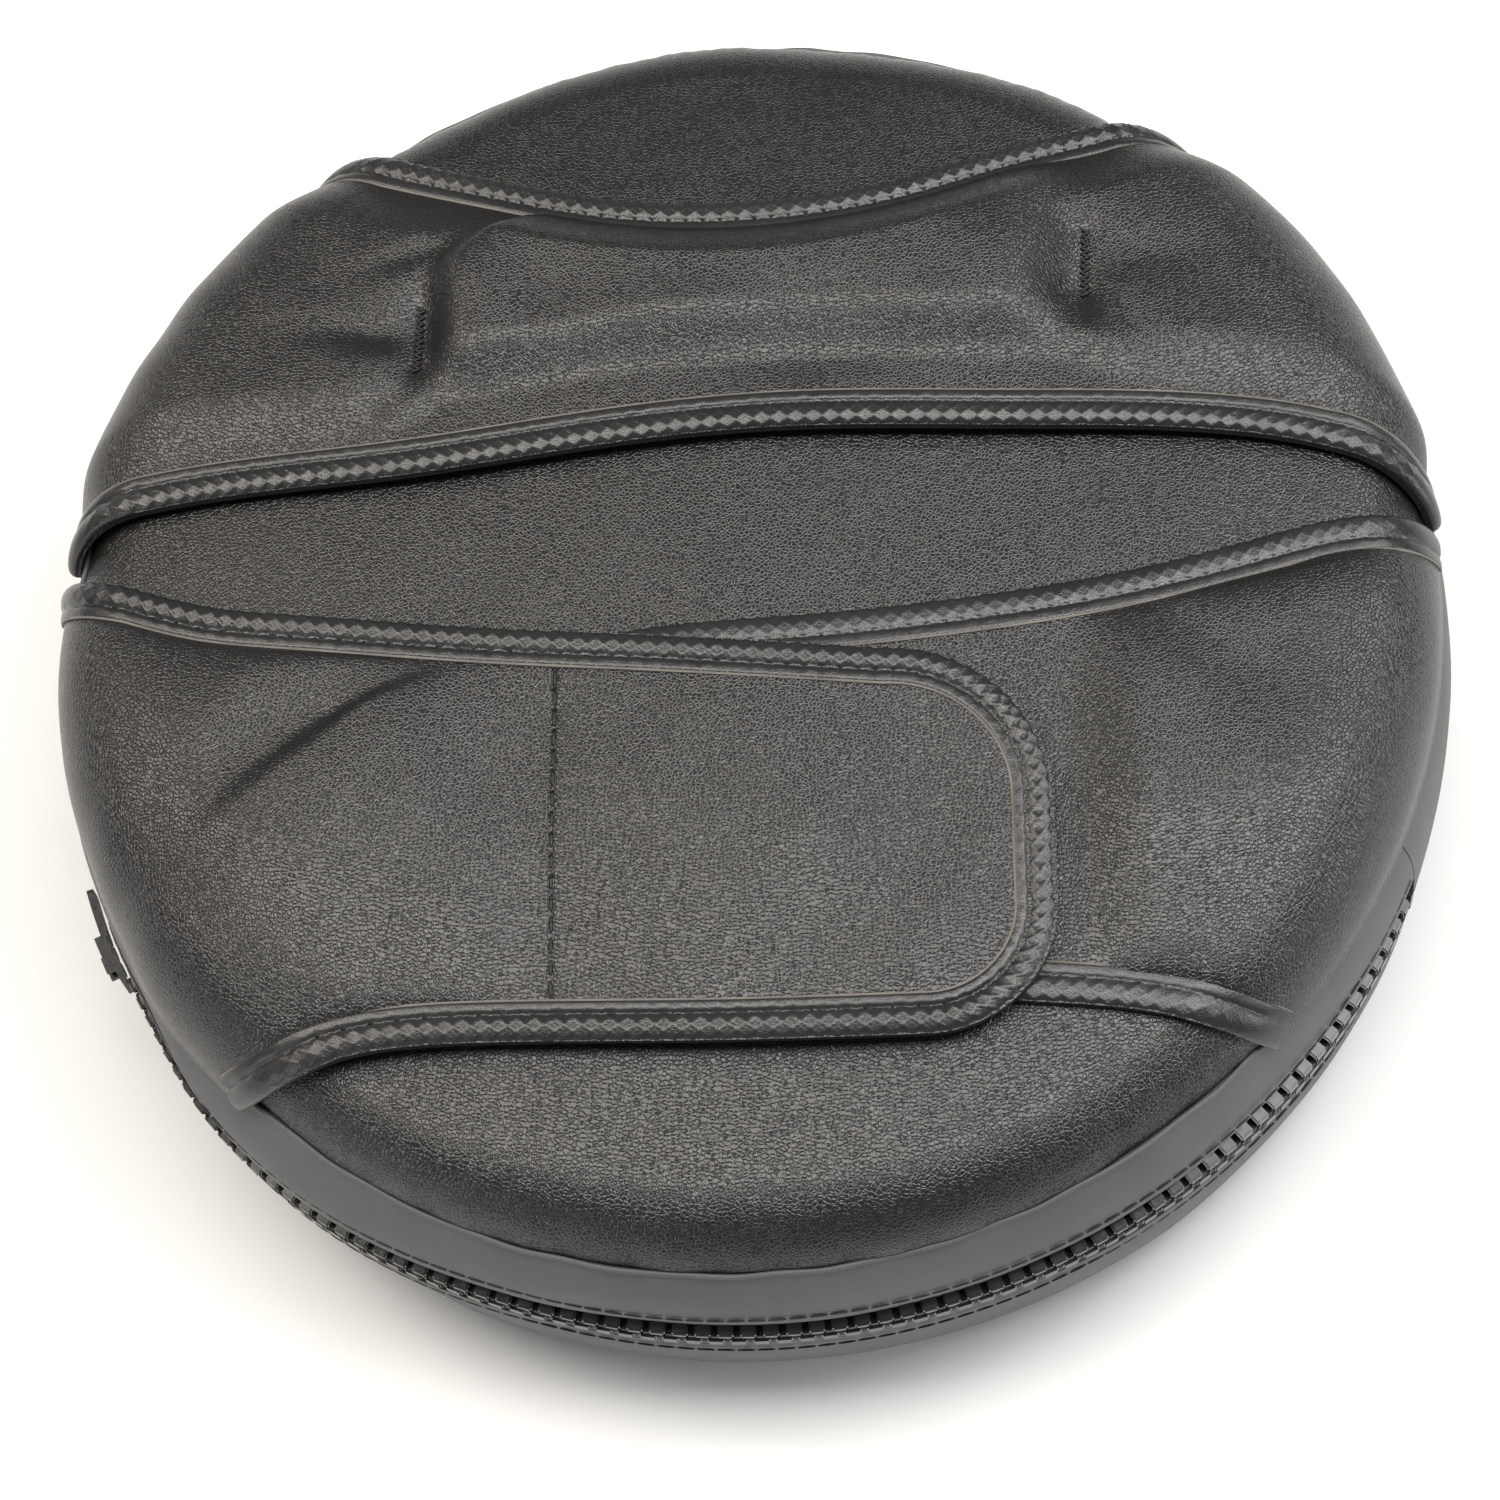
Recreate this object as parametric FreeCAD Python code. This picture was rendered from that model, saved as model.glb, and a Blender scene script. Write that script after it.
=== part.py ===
"""Zip-up cover for a small spare wheel, lying on its back with the padded face up.

Millimetres. Origin: centre of the footprint on the floor. +Z is the wheel's axis, out of the face.
-Y is the zipped mouth, +Y the plain side. Angles are measured about +Z from +X, in degrees.
"""

import FreeCAD, Part
import math
import os

V = FreeCAD.Vector
Z_AXIS = V(0, 0, 1)
ORIGIN = V(0, 0, 0)

# ---- the padded face: a flat crown that turns over a rolled edge into the seam ----
FACE_TOP_Z = 118.0
CROWN_R = 1800.0
ROLL_R = 25.0
ROLL_START_R = 176.0
SEAM_Z = 92.0
SKIN = 1.6  # leathercloth
LINING = 1.2
LINING_Z = 88.8
SEAM_GAP = 1.0  # the side wall stops this far under the seam
FOAM_INSET = 0.4  # the foam stands this far inside the skin's lower edge

# ---- side wall ----
SIDE_R = 203.8
SIDE_BULGE_R = 201.8
SIDE_BULGE_Z = 81.0
WAIST_R = 201.8
WAIST_Z = 24.0
HEEL_R = 196.5
HEEL_Z = 6.0
BACK_R = 188.5
HUB_R = 75.0  # hole in the back for the wheel's hub and carrier
HUB_TRIM_WIDTH = 9.0
HUB_TRIM_HEIGHT = 4.0

# ---- zip ----
ZIP_Z = 58.0
ZIP_START = 203.0
ZIP_END = 337.0
ZIP_OPEN_HALF = 10.0  # half the height between the two leathercloth hems
TAPE_R = 200.9
TAPE_THICK = 1.0
TAPE_OVERLAP = 4.0  # tape hidden behind the hem
TAPE_TUCK = 0.7  # how far the tape leans inwards behind the hem
TOOTH_PITCH = 6.35
TOOTH_R_IN = 198.9
TOOTH_R_OUT = 205.3
TOOTH_BASE = 5.1
TOOTH_BASE_WIDTH = 4.4
TOOTH_HEAD = 3.5
TOOTH_HEAD_WIDTH = 3.0
TOOTH_HEAD_THICK = 2.6
TOOTH_START = 207.6
TOOTH_END = 335.6
GAP = 0.3

# ---- mouth lip: the crescent of face and wall in front of the straps ----
LIP_Y = -150.0
SPLIT = 0.2  # clearance between two pieces that part at a fold

# ---- bands and straps that cross the face, outer edges in plan ----
BEAD = 7.0  # rolled edge of the binding
FLANGE = 11.0  # inner edge of the binding's flat flange
BAND_TOP = [(-180, 132), (-150, 147), (-124, 153), (-101, 150), (-73, 140), (-32, 128), (7, 125), (46, 130)]
BAND_TOP += [(81, 141), (106, 148), (128, 149), (152, 142), (185, 124)]
BAND_BOTTOM = [(-215, 15), (-196, 24), (-180, 31), (-150, 34), (-93, 36), (-40, 41), (16, 44), (78, 42)]
BAND_BOTTOM += [(143, 39), (176, 32), (192, 23), (215, 8)]
LEFT_TOP = [(-215, 25), (-193, 16), (-171, 6), (-150, -2), (-120, -8), (-67, -16), (-22, -21), (24, -26), (43, -28)]
LEFT_BOTTOM = [(-215, -162), (-170, -151), (-141, -145), (-107, -140), (-64, -138), (-4, -140), (52, -140)]
RIGHT_TOP = [(-46, -19), (-22, -16), (24, -14), (70, -10), (103, -5), (147, 6), (169, 12), (191, 15), (215, 18)]
RIGHT_BOTTOM = [(-46, -120), (20, -125), (77, -130), (108, -133), (148, -138), (215, -150)]
FLAP_END_X = 88.0
FLAP_TOP_CORNER = 45.0
FLAP_BOTTOM_CORNER = 36.0
FLAP_FOLD_X = -50.0
LEFT_FOLD = ((-184.0, 13.0), (-120.0, -141.0))
RIGHT_FOLD = ((184.0, 13.0), (122.0, -136.0))
FAR = 230.0  # beyond the cover's edge
PLAN_LOW_Z = 60.0  # plan outlines are cut between these two heights
PLAN_HIGH_Z = 160.0
BAND_MIDDLE = ((-120.0, 95.0), (0.0, 80.0), (120.0, 95.0))  # runs along the band, clear of both its bindings
BAND_MIDDLE_END_Y = 20.0

# ---- heights above the face skin of what lies on it ----
BAND_LAYERS = {"lining": (0.5, 1.5), "pad": (1.5, 7.0), "panel": (7.0, 8.6), "trim": (0.4, 9.6)}
LEFT_LAYERS = {"lining": (0.5, 1.5), "pad": (1.5, 7.0), "panel": (7.0, 8.6), "trim": (1.6, 9.6)}
RIGHT_LAYERS = {"panel": (0.5, 2.9), "trim": (0.7, 4.0)}
LOOP_LAYER = (2.9, 3.9)
HOOK_LAYER = (4.4, 5.4)
FLAP_LAYERS = {"panel": (5.4, 8.0), "trim": (4.4, 9.6)}
EDGE_SQUASH = 0.3  # share of a layer's height that is left where it is sewn into the seam
TACKS = ((-92.0, 81.0), (103.0, 96.0))
TACK_LENGTH = 22.0
TACK_WIDTH = 2.4
STITCH_PITCH = 6.0
STITCH_LENGTH = 4.2
STITCH_WIDTH = 0.9
THREAD = 0.8

PATCH_INSET = 20.0  # hook and loop patches inside the flap's edge
PATCH_START_X = -20.0
LEFT_TOP_AT_FOLD = -18.0
LEFT_BOTTOM_AT_FOLD = -138.0

# ---- slider and pull ----
SLIDER_ANGLE = 205.0
SLIDER_HALF_LENGTH = 7.0
SLIDER_HALF_HEIGHT = 6.5
SLIDER_CLEARANCE = 0.3
SLIDER_PLATE = 1.2
EAR_THICK = 1.6
EAR_LENGTH = 5.0
EAR_GAP = 4.0
EAR_R = 209.6
PIN_FROM_AXIS = 208.1
PIN_R = 0.6
PIN_CLEARANCE = 0.1
PULL_EYE_R = 1.2
PULL_CRANK = 7.8  # the pull steps in towards the wall past the slider's end
PULL_CRANK_LENGTH = 2.4
PULL_TAB_R = 205.4
PULL_TAB_THICK = 1.8
PULL_TAB_END = 25.0
PULL_WIDTH = 8.0
STOP_HALF_HEIGHT = 4.5
STOP_WIDTH = 2.4
STOP_ANGLE = 336.4


# ------------------------------------------------------------------ helpers
def crown_geometry():
    """Where the crown turns into the rolled edge, the roll's centre, and the seam's angle on the roll."""
    slope = math.asin(ROLL_START_R / CROWN_R)
    reach = CROWN_R - ROLL_R
    centre = (reach * math.sin(slope), FACE_TOP_Z - CROWN_R + reach * math.cos(slope))
    seam_angle = math.asin((SEAM_Z - centre[1]) / ROLL_R)
    return slope, centre, seam_angle


SLOPE, ROLL_CENTRE, SEAM_ANGLE = crown_geometry()


def roll_point(height, angle):
    """A point of the rolled edge, at a height above the face skin."""
    radius = ROLL_R + height
    return V(ROLL_CENTRE[0] + radius * math.cos(angle), 0, ROLL_CENTRE[1] + radius * math.sin(angle))


def skin_edges(height, seam_height):
    """Half profile of a surface above the face: its crown and its roll, from the axis out to the seam."""
    start = math.pi / 2 - SLOPE
    apex = V(0, 0, FACE_TOP_Z + height)
    half = CROWN_R + height
    middle = V(half * math.sin(SLOPE / 2), 0, FACE_TOP_Z - CROWN_R + half * math.cos(SLOPE / 2))
    turn = roll_point(height, start)
    on_roll = roll_point((height + seam_height) / 2, (start + SEAM_ANGLE) / 2)
    seam = roll_point(seam_height, SEAM_ANGLE)
    crown = Part.Arc(apex, middle, turn).toShape()
    roll = Part.Arc(turn, on_roll, seam).toShape()
    return crown, roll, apex, seam


def revolve(edges, start=0.0, sweep=360.0):
    """Solid of revolution about Z of the outline that the edges close."""
    face = Part.Face(Part.Wire(Part.__sortEdges__(edges)))
    solid = face.revolve(ORIGIN, Z_AXIS, sweep)
    solid.rotate(ORIGIN, Z_AXIS, start)
    return solid


def line(a, b):
    return Part.makeLine(V(*a), V(*b))


def layer(low, high, squash=EDGE_SQUASH):
    """Everything between two heights above the face skin, thinned to a share of them at the seam."""
    crown_a, roll_a, apex_a, seam_a = skin_edges(low, low * squash)
    crown_b, roll_b, apex_b, seam_b = skin_edges(high, high * squash)
    ends = [Part.makeLine(apex_a, apex_b), Part.makeLine(seam_a, seam_b)]
    return revolve([crown_a, roll_a, crown_b, roll_b] + ends)


def ring(section, start=0.0, end=360.0):
    """Sweep a polygon of (radius, z) corners about Z."""
    corners = [V(r, 0, z) for r, z in section]
    edges = [Part.makeLine(a, b) for a, b in zip(corners, corners[1:] + corners[:1])]
    return revolve(edges, start, end - start)


def spline(points):
    curve = Part.BSplineCurve()
    curve.interpolate([V(*p) for p in points])
    return curve.toShape()


def wall(outer, inner, start, end):
    """Sweep the strip between two smooth (radius, z) curves about Z."""
    a = [(r, 0, z) for r, z in outer]
    b = [(r, 0, z) for r, z in inner]
    edges = [spline(a), spline(b), line(a[0], b[0]), line(a[-1], b[-1])]
    return revolve(edges, start, end - start)


def shifted(points, distance):
    """The points moved to the left of their direction of travel."""
    moved = []
    for i, (x, y) in enumerate(points):
        before, after = points[max(i - 1, 0)], points[min(i + 1, len(points) - 1)]
        dx, dy = after[0] - before[0], after[1] - before[1]
        length = math.hypot(dx, dy)
        moved.append((x - dy / length * distance, y + dx / length * distance))
    return moved


def upright(edges):
    """Prism that stands on a plan outline."""
    face = Part.Face(Part.Wire(Part.__sortEdges__(edges)))
    face.translate(V(0, 0, PLAN_LOW_Z))
    return face.extrude(V(0, 0, PLAN_HIGH_Z - PLAN_LOW_Z))


def polygon(points):
    corners = [(x, y, 0) for x, y in points]
    return upright([line(a, b) for a, b in zip(corners, corners[1:] + corners[:1])])


def between(top, bottom, inset):
    """Prism between an upper and a lower edge, each moved in by inset."""
    upper = [(x, y, 0) for x, y in shifted(top, -inset)]
    lower = [(x, y, 0) for x, y in shifted(bottom, inset)]
    ends = [line(upper[0], lower[0]), line(upper[-1], lower[-1])]
    return upright([spline(upper), spline(lower)] + ends)


def band_plan(inset):
    return between(BAND_TOP, BAND_BOTTOM, inset)


def right_plan(inset):
    plan = between(RIGHT_TOP, RIGHT_BOTTOM, inset)
    return plan.common(half_plane_x(RIGHT_TOP[0][0] + inset, FAR))


def left_plan(inset):
    """The left strap and its flap, whose free end has two round corners."""
    upper = [(x, y, 0) for x, y in shifted(LEFT_TOP, -inset)]
    lower = [(x, y, 0) for x, y in shifted(LEFT_BOTTOM, inset)]
    end_x = FLAP_END_X - inset
    top_r = FLAP_TOP_CORNER - inset
    bottom_r = FLAP_BOTTOM_CORNER - inset
    top_y = upper[-1][1]
    bottom_y = lower[-1][1]
    upper[-1] = (end_x - top_r, top_y, 0)
    lower[-1] = (end_x - bottom_r, bottom_y, 0)
    diagonal = math.sqrt(0.5)
    top_mid = (end_x - top_r * (1 - diagonal), top_y - top_r * (1 - diagonal), 0)
    bottom_mid = (end_x - bottom_r * (1 - diagonal), bottom_y + bottom_r * (1 - diagonal), 0)
    top_out = (end_x, top_y - top_r, 0)
    bottom_out = (end_x, bottom_y + bottom_r, 0)
    top_corner = Part.Arc(V(*upper[-1]), V(*top_mid), V(*top_out)).toShape()
    bottom_corner = Part.Arc(V(*bottom_out), V(*bottom_mid), V(*lower[-1])).toShape()
    sides = [line(top_out, bottom_out), line(upper[0], lower[0])]
    return upright([spline(upper), top_corner, bottom_corner, spline(lower)] + sides)


def half_plane_x(low, high):
    return polygon([(low, -FAR), (high, -FAR), (high, FAR), (low, FAR)])


def half_space_y(low, high):
    box = Part.makeBox(2 * FAR, high - low, 2 * FAR)
    box.translate(V(-FAR, low, -FAR))
    return box


def beyond_fold(fold, outwards):
    """Prism of everything on the outer side of a fold line: outwards is -1 to the left, 1 to the right."""
    (ax, ay), (bx, by) = fold
    slope = (bx - ax) / (by - ay)
    top_x = ax + slope * (FAR - ay)
    bottom_x = ax + slope * (-FAR - ay)
    far = outwards * 2 * FAR
    return polygon([(top_x, FAR), (bottom_x, -FAR), (far, -FAR), (far, FAR)])


def trim(plan, layers):
    """Binding round an edge: a rolled bead outside the panel, and a flange on top of it."""
    low, high = layers["trim"]
    top = layers["panel"][1]
    bead = layer(low, high).common(plan(0).cut(plan(BEAD)))
    flange = layer(top, high).common(plan(BEAD - SPLIT).cut(plan(FLANGE)))
    return bead.fuse(flange)


def box_at(radius, angle, z_low, z_high, thick, width):
    """A block whose outer face lies at a radius and an angle about Z."""
    block = Part.makeBox(thick, width, z_high - z_low)
    block.translate(V(radius - thick, -width / 2, z_low))
    block.rotate(ORIGIN, Z_AXIS, angle)
    return block


def threads(places, height, length, width):
    """Stitches that lie along Y on a surface at a height above the face skin."""
    blocks = []
    for x, y in places:
        block = Part.makeBox(width, length, PLAN_HIGH_Z - PLAN_LOW_Z)
        block.translate(V(x - width / 2, y - length / 2, PLAN_LOW_Z))
        blocks.append(block)
    return layer(height, height + THREAD).common(Part.makeCompound(blocks))


def save(name, shape):
    solids = [s for s in shape.Solids if s.Volume > 0.5]
    body = solids[0] if len(solids) == 1 else Part.makeCompound(solids)
    if not body.isValid() or not solids:
        raise RuntimeError(name + " is not a valid solid")
    body.exportStep("parts/" + name + ".step")
    box = body.BoundBox
    print("%-22s %3d solids %9.0f mm3  z %6.1f to %6.1f" % (name, len(solids), body.Volume, box.ZMin, box.ZMax))


# ------------------------------------------------------------------ face
LIP_SIDE = half_space_y(-FAR, LIP_Y - SPLIT / 2)
COVER_SIDE = half_space_y(LIP_Y + SPLIT / 2, FAR)


def split_at_lip(cover_name, lip_name, shape):
    """The real piece bends here; its two ends move as separate bodies."""
    save(cover_name, shape.common(COVER_SIDE))
    save(lip_name, shape.common(LIP_SIDE))


def face():
    crown, roll, apex, seam = skin_edges(-SKIN, -SKIN)
    flat_r = seam.x - FOAM_INSET
    base_z = LINING_Z + LINING
    base = [(0, 0, base_z), (flat_r, 0, base_z)]
    foam = revolve([crown, roll, line(tuple(apex), base[0]), line(*base), line(base[1], tuple(seam))])
    lining = ring([(0, LINING_Z), (flat_r, LINING_Z), (flat_r, base_z), (0, base_z)])
    split_at_lip("face_panel", "lip_panel", layer(-SKIN, 0, 1.0))
    split_at_lip("face_foam", "lip_foam", foam)
    split_at_lip("face_lining", "lip_lining", lining)


# ------------------------------------------------------------------ side wall and back
def side_curves(low, high):
    """Outer and inner (radius, z) curves of the side wall between two heights."""
    seam = roll_point(0, SEAM_ANGLE)
    hem_top = ZIP_Z + ZIP_OPEN_HALF
    hem_bottom = ZIP_Z - ZIP_OPEN_HALF
    upper = [(seam.x, seam.z - SEAM_GAP), (SIDE_BULGE_R, SIDE_BULGE_Z), (SIDE_R, hem_top)]
    lower = [(SIDE_R, hem_bottom), (WAIST_R, WAIST_Z), (HEEL_R, HEEL_Z), (BACK_R, 0)]
    outer = [p for p in upper + lower if low - 0.01 <= p[1] <= high + 0.01]
    inner = [(r - SKIN, z) for r, z in outer]
    if low == 0:
        inner[-2:] = [(HEEL_R - SKIN, HEEL_Z + SKIN / 2), (BACK_R, SKIN)]
    return outer, inner


def side():
    hem_top = ZIP_Z + ZIP_OPEN_HALF
    hem_bottom = ZIP_Z - ZIP_OPEN_HALF
    save("side_band", wall(*side_curves(0, SEAM_Z), ZIP_END - 360 + SPLIT, ZIP_START - SPLIT))
    save("rear_zip_strip", wall(*side_curves(0, hem_bottom), ZIP_START, ZIP_END))
    upper = wall(*side_curves(hem_top, SEAM_Z), ZIP_START, ZIP_END)
    split_at_lip("front_zip_strip_ends", "lip_zip_strip", upper)


def back():
    panel_z = GAP
    inner = HUB_R + HUB_TRIM_WIDTH / 2
    outer = BACK_R - GAP
    save("back_panel", ring([(inner, panel_z), (outer, panel_z), (outer, panel_z + SKIN), (inner, panel_z + SKIN)]))
    rim = HUB_R + HUB_TRIM_WIDTH
    groove_low, groove_high = panel_z, panel_z + SKIN
    section = [
        (HUB_R, 0),
        (rim, 0),
        (rim, groove_low),
        (inner, groove_low),
        (inner, groove_high),
        (rim, groove_high),
        (rim, HUB_TRIM_HEIGHT),
        (HUB_R, HUB_TRIM_HEIGHT),
    ]
    save("hub_opening_trim", ring(section))


# ------------------------------------------------------------------ zip
def tooth(angle, up):
    """One moulded tooth. The front row's head lies outside the rear row's, so that the rows part freely."""
    gap_z = ZIP_Z + up * (TOOTH_HEAD / 2 + GAP / 2)
    far_z = gap_z + up * TOOTH_BASE
    tip_z = gap_z - up * TOOTH_HEAD
    thick = TOOTH_R_OUT - TOOTH_R_IN
    base = box_at(TOOTH_R_OUT, angle, min(gap_z, far_z), max(gap_z, far_z), thick, TOOTH_BASE_WIDTH)
    head_out = TOOTH_R_OUT - GAP if up > 0 else TOOTH_R_IN + GAP + TOOTH_HEAD_THICK
    low, high = min(gap_z, tip_z), max(gap_z, tip_z)
    head = box_at(head_out, angle, low, high, TOOTH_HEAD_THICK, TOOTH_HEAD_WIDTH)
    return base.fuse(head).removeSplitter()


def teeth(angles, up):
    return Part.makeCompound([tooth(a, up) for a in angles])


def zip_rows():
    step = math.degrees(TOOTH_PITCH / TOOTH_R_OUT)
    count = int((TOOTH_END - TOOTH_START) / step)
    front = [TOOTH_START + i * step for i in range(count + 1)]
    rear = [a + step / 2 for a in front[:-1]]
    margin = math.degrees((TOOTH_BASE_WIDTH / 2 + SPLIT) / TOOTH_R_OUT)
    edge = math.degrees(math.asin(-LIP_Y / TOOTH_R_OUT)) + margin
    in_lip = [a for a in front if 180 + edge < a < 360 - edge]
    outside = [a for a in front if not 180 + edge - 2 * margin < a < 360 - edge + 2 * margin]
    save("zip_teeth_lip", teeth(in_lip, 1))
    save("zip_teeth_front_ends", teeth(outside, 1))
    save("zip_teeth_rear", teeth(rear, -1))


def zip_tapes():
    split_at_lip("zip_tape_front_ends", "zip_tape_lip", tape(1))
    save("zip_tape_rear", tape(-1))


def tape(up):
    """The tape on one side of the zip, from the teeth to behind the hem."""
    out = TAPE_R + TAPE_THICK
    near = ZIP_Z + up * (TOOTH_HEAD / 2 + GAP / 2 + SPLIT)
    hem = ZIP_Z + up * ZIP_OPEN_HALF
    far = hem + up * TAPE_OVERLAP
    section = [
        (TAPE_R, near),
        (out, near),
        (out, hem),
        (out - TAPE_TUCK, far),
        (TAPE_R - TAPE_TUCK, far),
        (TAPE_R, hem),
    ]
    return ring(section, ZIP_START, ZIP_END).cut(teeth_space(up))


def teeth_space(up):
    """The band of the tape that the teeth are moulded round."""
    near = TOOTH_HEAD / 2 + GAP / 2
    far = near + TOOTH_BASE
    low, high = sorted((ZIP_Z + up * near, ZIP_Z + up * far))
    return ring([(TOOTH_R_IN, low), (TOOTH_R_OUT, low), (TOOTH_R_OUT, high), (TOOTH_R_IN, high)])


# ------------------------------------------------------------------ band and straps
def layer_in(layers, name, plan):
    return layer(*layers[name]).common(plan)


def band():
    inner = band_plan(BEAD)
    for name in ("panel", "pad", "lining"):
        save("band_" + name, layer_in(BAND_LAYERS, name, inner))
    edging = trim(band_plan, BAND_LAYERS)
    ends = ((-FAR, BAND_MIDDLE_END_Y), (FAR, BAND_MIDDLE_END_Y))
    upper_side = polygon([ends[0], *BAND_MIDDLE, ends[1], (FAR, FAR), (-FAR, FAR)])
    save("band_top_trim", edging.common(upper_side))
    save("band_bottom_trim", edging.cut(upper_side))
    save("band_tacks", threads(TACKS, BAND_LAYERS["panel"][1], TACK_LENGTH, TACK_WIDTH))


def split_strap(root_name, strap_name, shape, fold, outwards):
    """The sewn root stays on the cover; the rest lifts with the strap."""
    root_side = beyond_fold(fold, outwards)
    save(root_name, shape.common(root_side))
    near = ((fold[0][0] - outwards * SPLIT, fold[0][1]), (fold[1][0] - outwards * SPLIT, fold[1][1]))
    save(strap_name, shape.cut(beyond_fold(near, outwards)))


def left_strap():
    strap_side = half_plane_x(-FAR, FLAP_FOLD_X - SPLIT)
    for name in ("panel", "pad", "lining"):
        shape = layer_in(LEFT_LAYERS, name, left_plan(BEAD)).common(strap_side)
        split_strap("left_root_" + name, "left_strap_" + name, shape, LEFT_FOLD, -1)
    edging = trim(left_plan, LEFT_LAYERS).common(strap_side)
    split_strap("left_root_trim", "left_strap_trim", edging, LEFT_FOLD, -1)


def flap():
    flap_side = half_plane_x(FLAP_FOLD_X, FAR)
    save("flap_panel", layer_in(FLAP_LAYERS, "panel", left_plan(BEAD)).common(flap_side))
    save("flap_trim", trim(left_plan, FLAP_LAYERS).common(flap_side))
    patch = left_plan(PATCH_INSET).common(half_plane_x(PATCH_START_X, FAR))
    save("hook_patch", layer(*HOOK_LAYER).common(patch))
    top = LEFT_TOP_AT_FOLD - FLANGE
    count = int((top - LEFT_BOTTOM_AT_FOLD - FLANGE) / STITCH_PITCH)
    row_x = FLAP_FOLD_X + STITCH_WIDTH
    places = [(row_x, top - STITCH_PITCH * (i + 0.5)) for i in range(count)]
    save("flap_stitching", threads(places, FLAP_LAYERS["panel"][1], STITCH_LENGTH, STITCH_WIDTH))


def right_strap():
    shape = layer_in(RIGHT_LAYERS, "panel", right_plan(BEAD))
    split_strap("right_root_panel", "right_strap_panel", shape, RIGHT_FOLD, 1)
    split_strap("right_root_trim", "right_strap_trim", trim(right_plan, RIGHT_LAYERS), RIGHT_FOLD, 1)
    patch = left_plan(PATCH_INSET).common(half_plane_x(PATCH_START_X, FAR)).common(right_plan(FLANGE + 1))
    save("loop_patch", layer(*LOOP_LAYER).common(patch))


# ------------------------------------------------------------------ slider and pull
def slider():
    """Two plates that run outside and inside the teeth, and a pair of ears with a pin for the pull."""
    half = math.degrees(SLIDER_HALF_LENGTH / TOOTH_R_OUT)
    start, end = SLIDER_ANGLE - half, SLIDER_ANGLE + half
    low, high = ZIP_Z - SLIDER_HALF_HEIGHT, ZIP_Z + SLIDER_HALF_HEIGHT
    near = TOOTH_R_OUT + SLIDER_CLEARANCE
    far = TOOTH_R_IN - SLIDER_CLEARANCE
    outside = ring([(near, low), (near + SLIDER_PLATE, low), (near + SLIDER_PLATE, high), (near, high)], start, end)
    inside = ring([(far - SLIDER_PLATE, low), (far, low), (far, high), (far - SLIDER_PLATE, high)], start, end)
    ears = []
    for side in (-1, 1):
        z = ZIP_Z + side * (EAR_GAP + EAR_THICK) / 2
        ear = box_at(EAR_R, SLIDER_ANGLE, z - EAR_THICK / 2, z + EAR_THICK / 2, EAR_R - near, EAR_LENGTH)
        ears.append(ear)
    body = outside.fuse(ears)
    hole = pin_cylinder(PIN_R + PIN_CLEARANCE, 2 * EAR_GAP)
    save("zip_slider", body.cut(hole).removeSplitter())
    save("slider_inner_plate", inside)
    save("slider_pin", pin_cylinder(PIN_R, EAR_GAP + 2 * EAR_THICK))


def pin_cylinder(radius, height):
    angle = math.radians(SLIDER_ANGLE)
    base = V(PIN_FROM_AXIS * math.cos(angle), PIN_FROM_AXIS * math.sin(angle), ZIP_Z - height / 2)
    return Part.makeCylinder(radius, height, base, Z_AXIS)


def pull():
    """The pull lies back past the end of the zip, its tab against the wall, and swings out on the slider's pin."""
    thick = EAR_GAP - 2 * GAP
    low = ZIP_Z - thick / 2
    eye = Part.makeCylinder(PULL_EYE_R, thick, V(PIN_FROM_AXIS, 0, low))
    crank_end = PULL_CRANK + PULL_CRANK_LENGTH
    neck = Part.makeBox(2 * PULL_EYE_R, crank_end, thick)
    neck.translate(V(PIN_FROM_AXIS - PULL_EYE_R, -crank_end, low))
    crank_depth = PIN_FROM_AXIS - PULL_TAB_R
    crank = Part.makeBox(crank_depth, PULL_CRANK_LENGTH, thick)
    crank.translate(V(PULL_TAB_R, -crank_end, low))
    tab_out = PULL_TAB_R + PULL_TAB_THICK
    start = -math.degrees(PULL_TAB_END / PULL_TAB_R)
    end = -math.degrees((PULL_CRANK + GAP) / PULL_TAB_R)
    z_low, z_high = ZIP_Z - PULL_WIDTH / 2, ZIP_Z + PULL_WIDTH / 2
    tab = ring([(PULL_TAB_R, z_low), (tab_out, z_low), (tab_out, z_high), (PULL_TAB_R, z_high)], start, end)
    far_corners = [e for e in tab.Edges if e.Length < PULL_TAB_THICK + GAP and e.BoundBox.YMax < -PULL_TAB_END / 2]
    tab = tab.makeFillet(PULL_WIDTH / 4, far_corners)
    shape = eye.fuse([neck, crank, tab])
    bore = Part.makeCylinder(PIN_R + PIN_CLEARANCE, 2 * EAR_GAP, V(PIN_FROM_AXIS, 0, ZIP_Z - EAR_GAP))
    shape = shape.cut(bore).removeSplitter()
    shape.rotate(ORIGIN, Z_AXIS, SLIDER_ANGLE)
    save("zip_pull", shape)


def zip_stop():
    """The moulded stop across both tapes, at the end where the two rows stay joined."""
    low, high = ZIP_Z - STOP_HALF_HEIGHT, ZIP_Z + STOP_HALF_HEIGHT
    save("zip_bottom_stop", box_at(TOOTH_R_OUT, STOP_ANGLE, low, high, TOOTH_R_OUT - TOOTH_R_IN, STOP_WIDTH))


os.makedirs("parts", exist_ok=True)
face()
side()
back()
zip_rows()
zip_tapes()
band()
left_strap()
flap()
right_strap()
slider()
pull()
zip_stop()
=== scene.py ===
"""Looks of the zip-up spare wheel cover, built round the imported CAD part, in metres and in its frame.

Lengths below are millimetres until a mesh is made. What lies on the face is placed by its spot on the face
rolled out flat round its centre, called a flat point, and by its height above the face's leathercloth.
"""
import math
import bmesh
import bpy
import numpy as np
from mathutils import Matrix, Vector


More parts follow.
